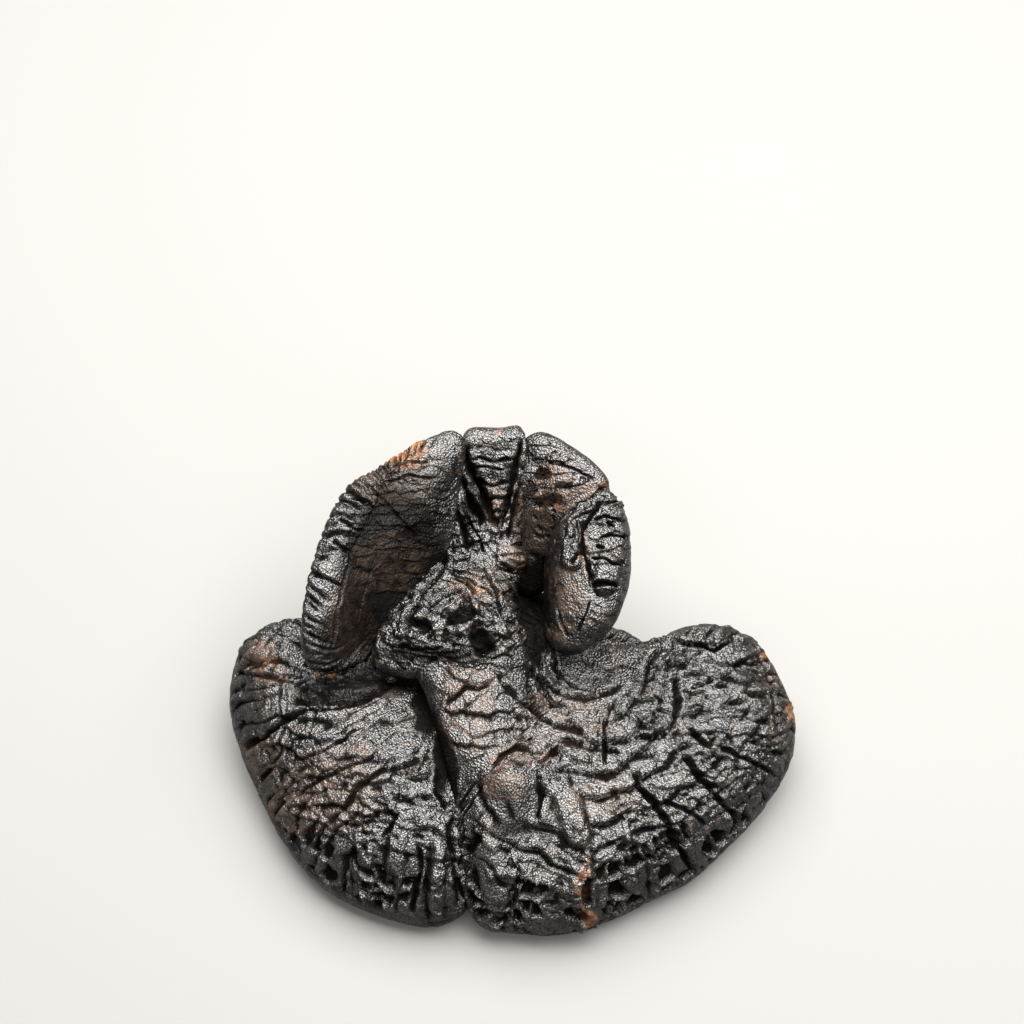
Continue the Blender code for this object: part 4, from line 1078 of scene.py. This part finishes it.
# the ear-shaped fold on the right, two columns with a crease between them
earFold = {
    "around": 440, "rows": {"top": 100, "rim": 14, "beneath": 12},
    "heelThick": 10, "rimThick": 9, "inset": 1.0, "heel": (24.5, 36, 60.5),
    "ribs": [
        ((25, 43, 61), (24, 51, 61.5), (22.5, 58, 60)),
        ((22.5, 42, 60.5), (19, 48, 58.5), (15.5, 52, 49)),
        ((21, 39, 60.5), (17.5, 41.5, 57.5), (14, 43, 43)),
        ((20.5, 35.5, 60), (17, 35, 56.5), (13.5, 34.5, 40)),
        ((20.5, 31.5, 59), (16.5, 28.5, 54.5), (13, 25.5, 38)),
        ((21, 28.5, 58), (17, 21.5, 52), (13, 17, 38)),
        ((22.5, 26.5, 57.5), (19.5, 17.5, 51.5), (15.5, 10.5, 40)),
        ((25, 26, 57.5), (23.5, 17, 52), (21, 10, 42)),
        ((27, 27, 58), (27.5, 19, 53.5), (26.5, 14, 46)),
        ((29, 30, 58.5), (30.5, 25, 55.5), (30.5, 22, 49)),
        ((30, 33.5, 59), (32, 33.5, 57), (33, 33.5, 51)),
        ((30, 38.5, 60), (32, 43, 59), (32.7, 46, 54.5)),
        ((29.5, 42, 60.5), (30.5, 48.5, 61), (30.7, 54, 58)),
        ((27.5, 43, 61), (27.5, 51, 62.5), (27, 59, 62)),
    ],
    "folds": {"high": 0.2, "spacing": 8.0, "start": 0.4},
    "steps": {"high": 0.1, "spacing": 8.0, "deep": 0.0, "low": 0},
    "chips": {"across": 3.6, "length": 1.8, "deep": 0.4, "low": 4}, "fine": 0.1,
    "rim": {"smooth": 0.3, "wide": 3.0},
    "ledges": {
        "rightColumn": {"high": 0.6, "wide": 6.0, "deep": 5.0, "low": 2, "where": (608, 545, 22, 70)},
    },
    "lumps": {
        "one": ((26, 40, 64), 5, 1), "two": ((30, 28, 61), 5, 1), "three": ((24, 14, 56), 5, 1),
    },
    "ridges": {
        "rightColumn": (3.4, 1.5, [(611, 500), (612, 530), (610, 560), (604, 584)]),
        "leftColumn": (2.8, 1.8, [(584, 510), (577, 524), (573, 545), (572, 562)]),
    },
    "creases": {
        "middle": (0.8, 2.4, [(604, 498), (593, 512), (584, 528), (581, 546), (588, 562), (592, 584)]),
        "right1": (0.45, 1.2, [(601, 506), (612, 503), (624, 498)]),
        "right2": (0.5, 1.4, [(592, 521), (604, 518), (612, 521), (624, 522)]),
        "right3": (0.4, 1.0, [(600, 539), (612, 536), (626, 540)]),
        "right4": (0.5, 1.4, [(590, 557), (604, 560), (612, 566), (622, 565)]),
        "right5": (0.8, 2.0, [(592, 587), (606, 584), (619, 585)]),
        "chipOne": (0.5, 1.2, [(606, 527), (614, 529)]),
        "chipTwo": (0.5, 1.2, [(596, 546), (602, 550)]),
        "left1": (0.45, 1.3, [(570, 524), (580, 517), (591, 512)]),
        "left2": (0.4, 1.0, [(568, 540), (576, 536)]),
        "left3": (0.5, 1.4, [(572, 566), (578, 556), (584, 552)]),
        "left4": (0.4, 1.0, [(577, 524), (580, 534), (577, 546)]),
        "noseLine": (0.35, 0.8, [(556, 606), (560, 622), (566, 638)]),
        "noseSide": (0.35, 0.8, [(590, 600), (584, 618), (578, 634)]),
    },
    "paintedShade": {
        "wall": (542, 594, 12, 34, 0.9), "inner": (564, 602, 20, 34, 0.5),
        "crescent": (588, 530, 6, 30, 0.5), "below": (566, 656, 30, 7, 0.7),
    },
    "brown": {
        "inner": (568, 592, 18, 22, 0.9), "nose": (562, 632, 14, 10, 0.7),
        "between": (586, 555, 5, 26, 0.6),
    },
    "rust": {"spot": (546, 572, 5, 5, 0.4), "nose": (562, 628, 7, 5, 0.2)},
}
growLobe("earFold", earFold, blackCrust)


stemShape = {
    "around": 200, "along": 110,
    # middle x, y and z, half width and half depth of each ring, from the flat cut up
    "rings": [
        (5, 22, 0, 17, 16), (5, 22, 5, 15, 14), (3, 21, 14, 17, 15), (-2, 20, 21, 29, 24),
        (-3, 24, 25, 28, 22), (-9, 27, 31, 20, 16), (-12, 29, 40, 12, 10), (-12, 30, 47, 6, 5),
    ],
    "furrows": 18, "furrowDeep": 0.5, "paleHeight": 20, "paintedShadeHeight": 16,
}


def growStem(name, stem, material):
    # rings of changing size, wrinkled lengthwise: middle + (half size + furrow) * (cos, sin)
    rings = np.array(stem["rings"], dtype=float)
    angle = np.linspace(0, 2 * math.pi, stem["around"], endpoint=False)[:, None]
    steps = np.linspace(0, len(rings) - 1, stem["along"])
    x, y, z, halfX, halfY = throughPoints(rings, steps, False).T
    count = stem["furrows"]
    furrow = stem["furrowDeep"] * (wrinkleNoise(angle / (2 * math.pi) * count, z / 20, 4.4, 3, count) - 0.5)
    furrow = furrow * ramp(z / 3)
    skin = np.stack([x + (halfX + furrow) * np.cos(angle), y + (halfY + furrow) * np.sin(angle),
                     z + 0 * angle], axis=-1)
    low = np.broadcast_to(rings[0, :3], (stem["around"], 1, 3))
    high = np.broadcast_to(rings[-1, :3] + (0, 0, 1), (stem["around"], 1, 3))
    points = np.concatenate([low, skin, high], axis=1)
    masks = {label: np.zeros(points.shape[:2]) for label in ("hollow", "heel", "brown", "rust")}
    masks["beneath"] = ramp(1 - points[..., 2] / stem["paleHeight"])
    # painted shade: the upper stem, under the lobes, is coloured darker
    masks["paintedShade"] = ramp((points[..., 2] - stem["paintedShadeHeight"]) / 8)
    finishPiece(makeSkin(name, points, masks, points), material)


growStem("stem", stemShape, blackCrust)
print("fungus grown")


studio = {
    "floorColour": (0.0888, 0.0876, 0.085), "floorHalf": 4.0,   # metres
    "worldColour": (0.93, 0.96, 1.0), "worldStrength": 0.4,
    # name: place and target in mm, width and depth in mm, watts, colour
    "lights": {
        "overhead": ((90, 300, 850), (0, 100, 0), 1400, 900, 116.0, (1.0, 0.985, 0.955)),
        "front": ((0, -650, 900), (0, 40, 0), 1500, 500, 18.0, (1.0, 0.99, 0.97)),
    },
}


def makeFloor(look):
    material = bpy.data.materials.new("pale floor")
    material.use_nodes = True
    shader = material.node_tree.nodes["Principled BSDF"]
    shader.inputs["Base Color"].default_value = (*look["floorColour"], 1)
    shader.inputs["Roughness"].default_value = 0.9
    shader.inputs["Specular IOR Level"].default_value = 0.2
    mesh = bpy.data.meshes.new("floor")
    half = look["floorHalf"]
    corners = [(-half, -half, 0), (half, -half, 0), (half, half, 0), (-half, half, 0)]
    mesh.from_pydata(corners, [], [(0, 1, 2, 3)])
    mesh.materials.append(material)
    floor = bpy.data.objects.new("floor", mesh)
    bpy.context.scene.collection.objects.link(floor)


def makeLights(look):
    world = bpy.data.worlds.new("studio")
    world.use_nodes = True
    background = world.node_tree.nodes["Background"]
    background.inputs["Color"].default_value = (*look["worldColour"], 1)
    background.inputs["Strength"].default_value = look["worldStrength"]
    bpy.context.scene.world = world
    for name, (place, target, width, depth, watts, colour) in look["lights"].items():
        light = bpy.data.lights.new(name, "AREA")
        light.shape = "RECTANGLE"
        light.size, light.size_y = width * mm, depth * mm
        light.energy, light.color = watts, colour
        lamp = bpy.data.objects.new(name, light)
        aim = (np.array(target) - np.array(place)) * mm
        lamp.rotation_euler = Vector(aim).to_track_quat("-Z", "Y").to_euler()
        lamp.location = (np.array(place) - layoutCentre) * mm
        bpy.context.scene.collection.objects.link(lamp)


def makeCamera(view):
    camera = bpy.data.cameras.new("camera")
    camera.lens, camera.sensor_width = view["lens"], view["sensor"]
    camera.clip_start = 0.01
    eye = bpy.data.objects.new("camera", camera)
    back = np.array([0.0, -math.cos(view["elevation"]), math.sin(view["elevation"])])
    eye.location = (view["target"] + back * view["distance"] - layoutCentre) * mm
    eye.rotation_euler = (math.pi / 2 - view["elevation"], 0, 0)
    bpy.context.scene.collection.objects.link(eye)
    bpy.context.scene.camera = eye


makeFloor(studio)
makeLights(studio)
makeCamera(photoView)
bpy.context.scene.view_settings.view_transform = "Standard"
print("studio set")
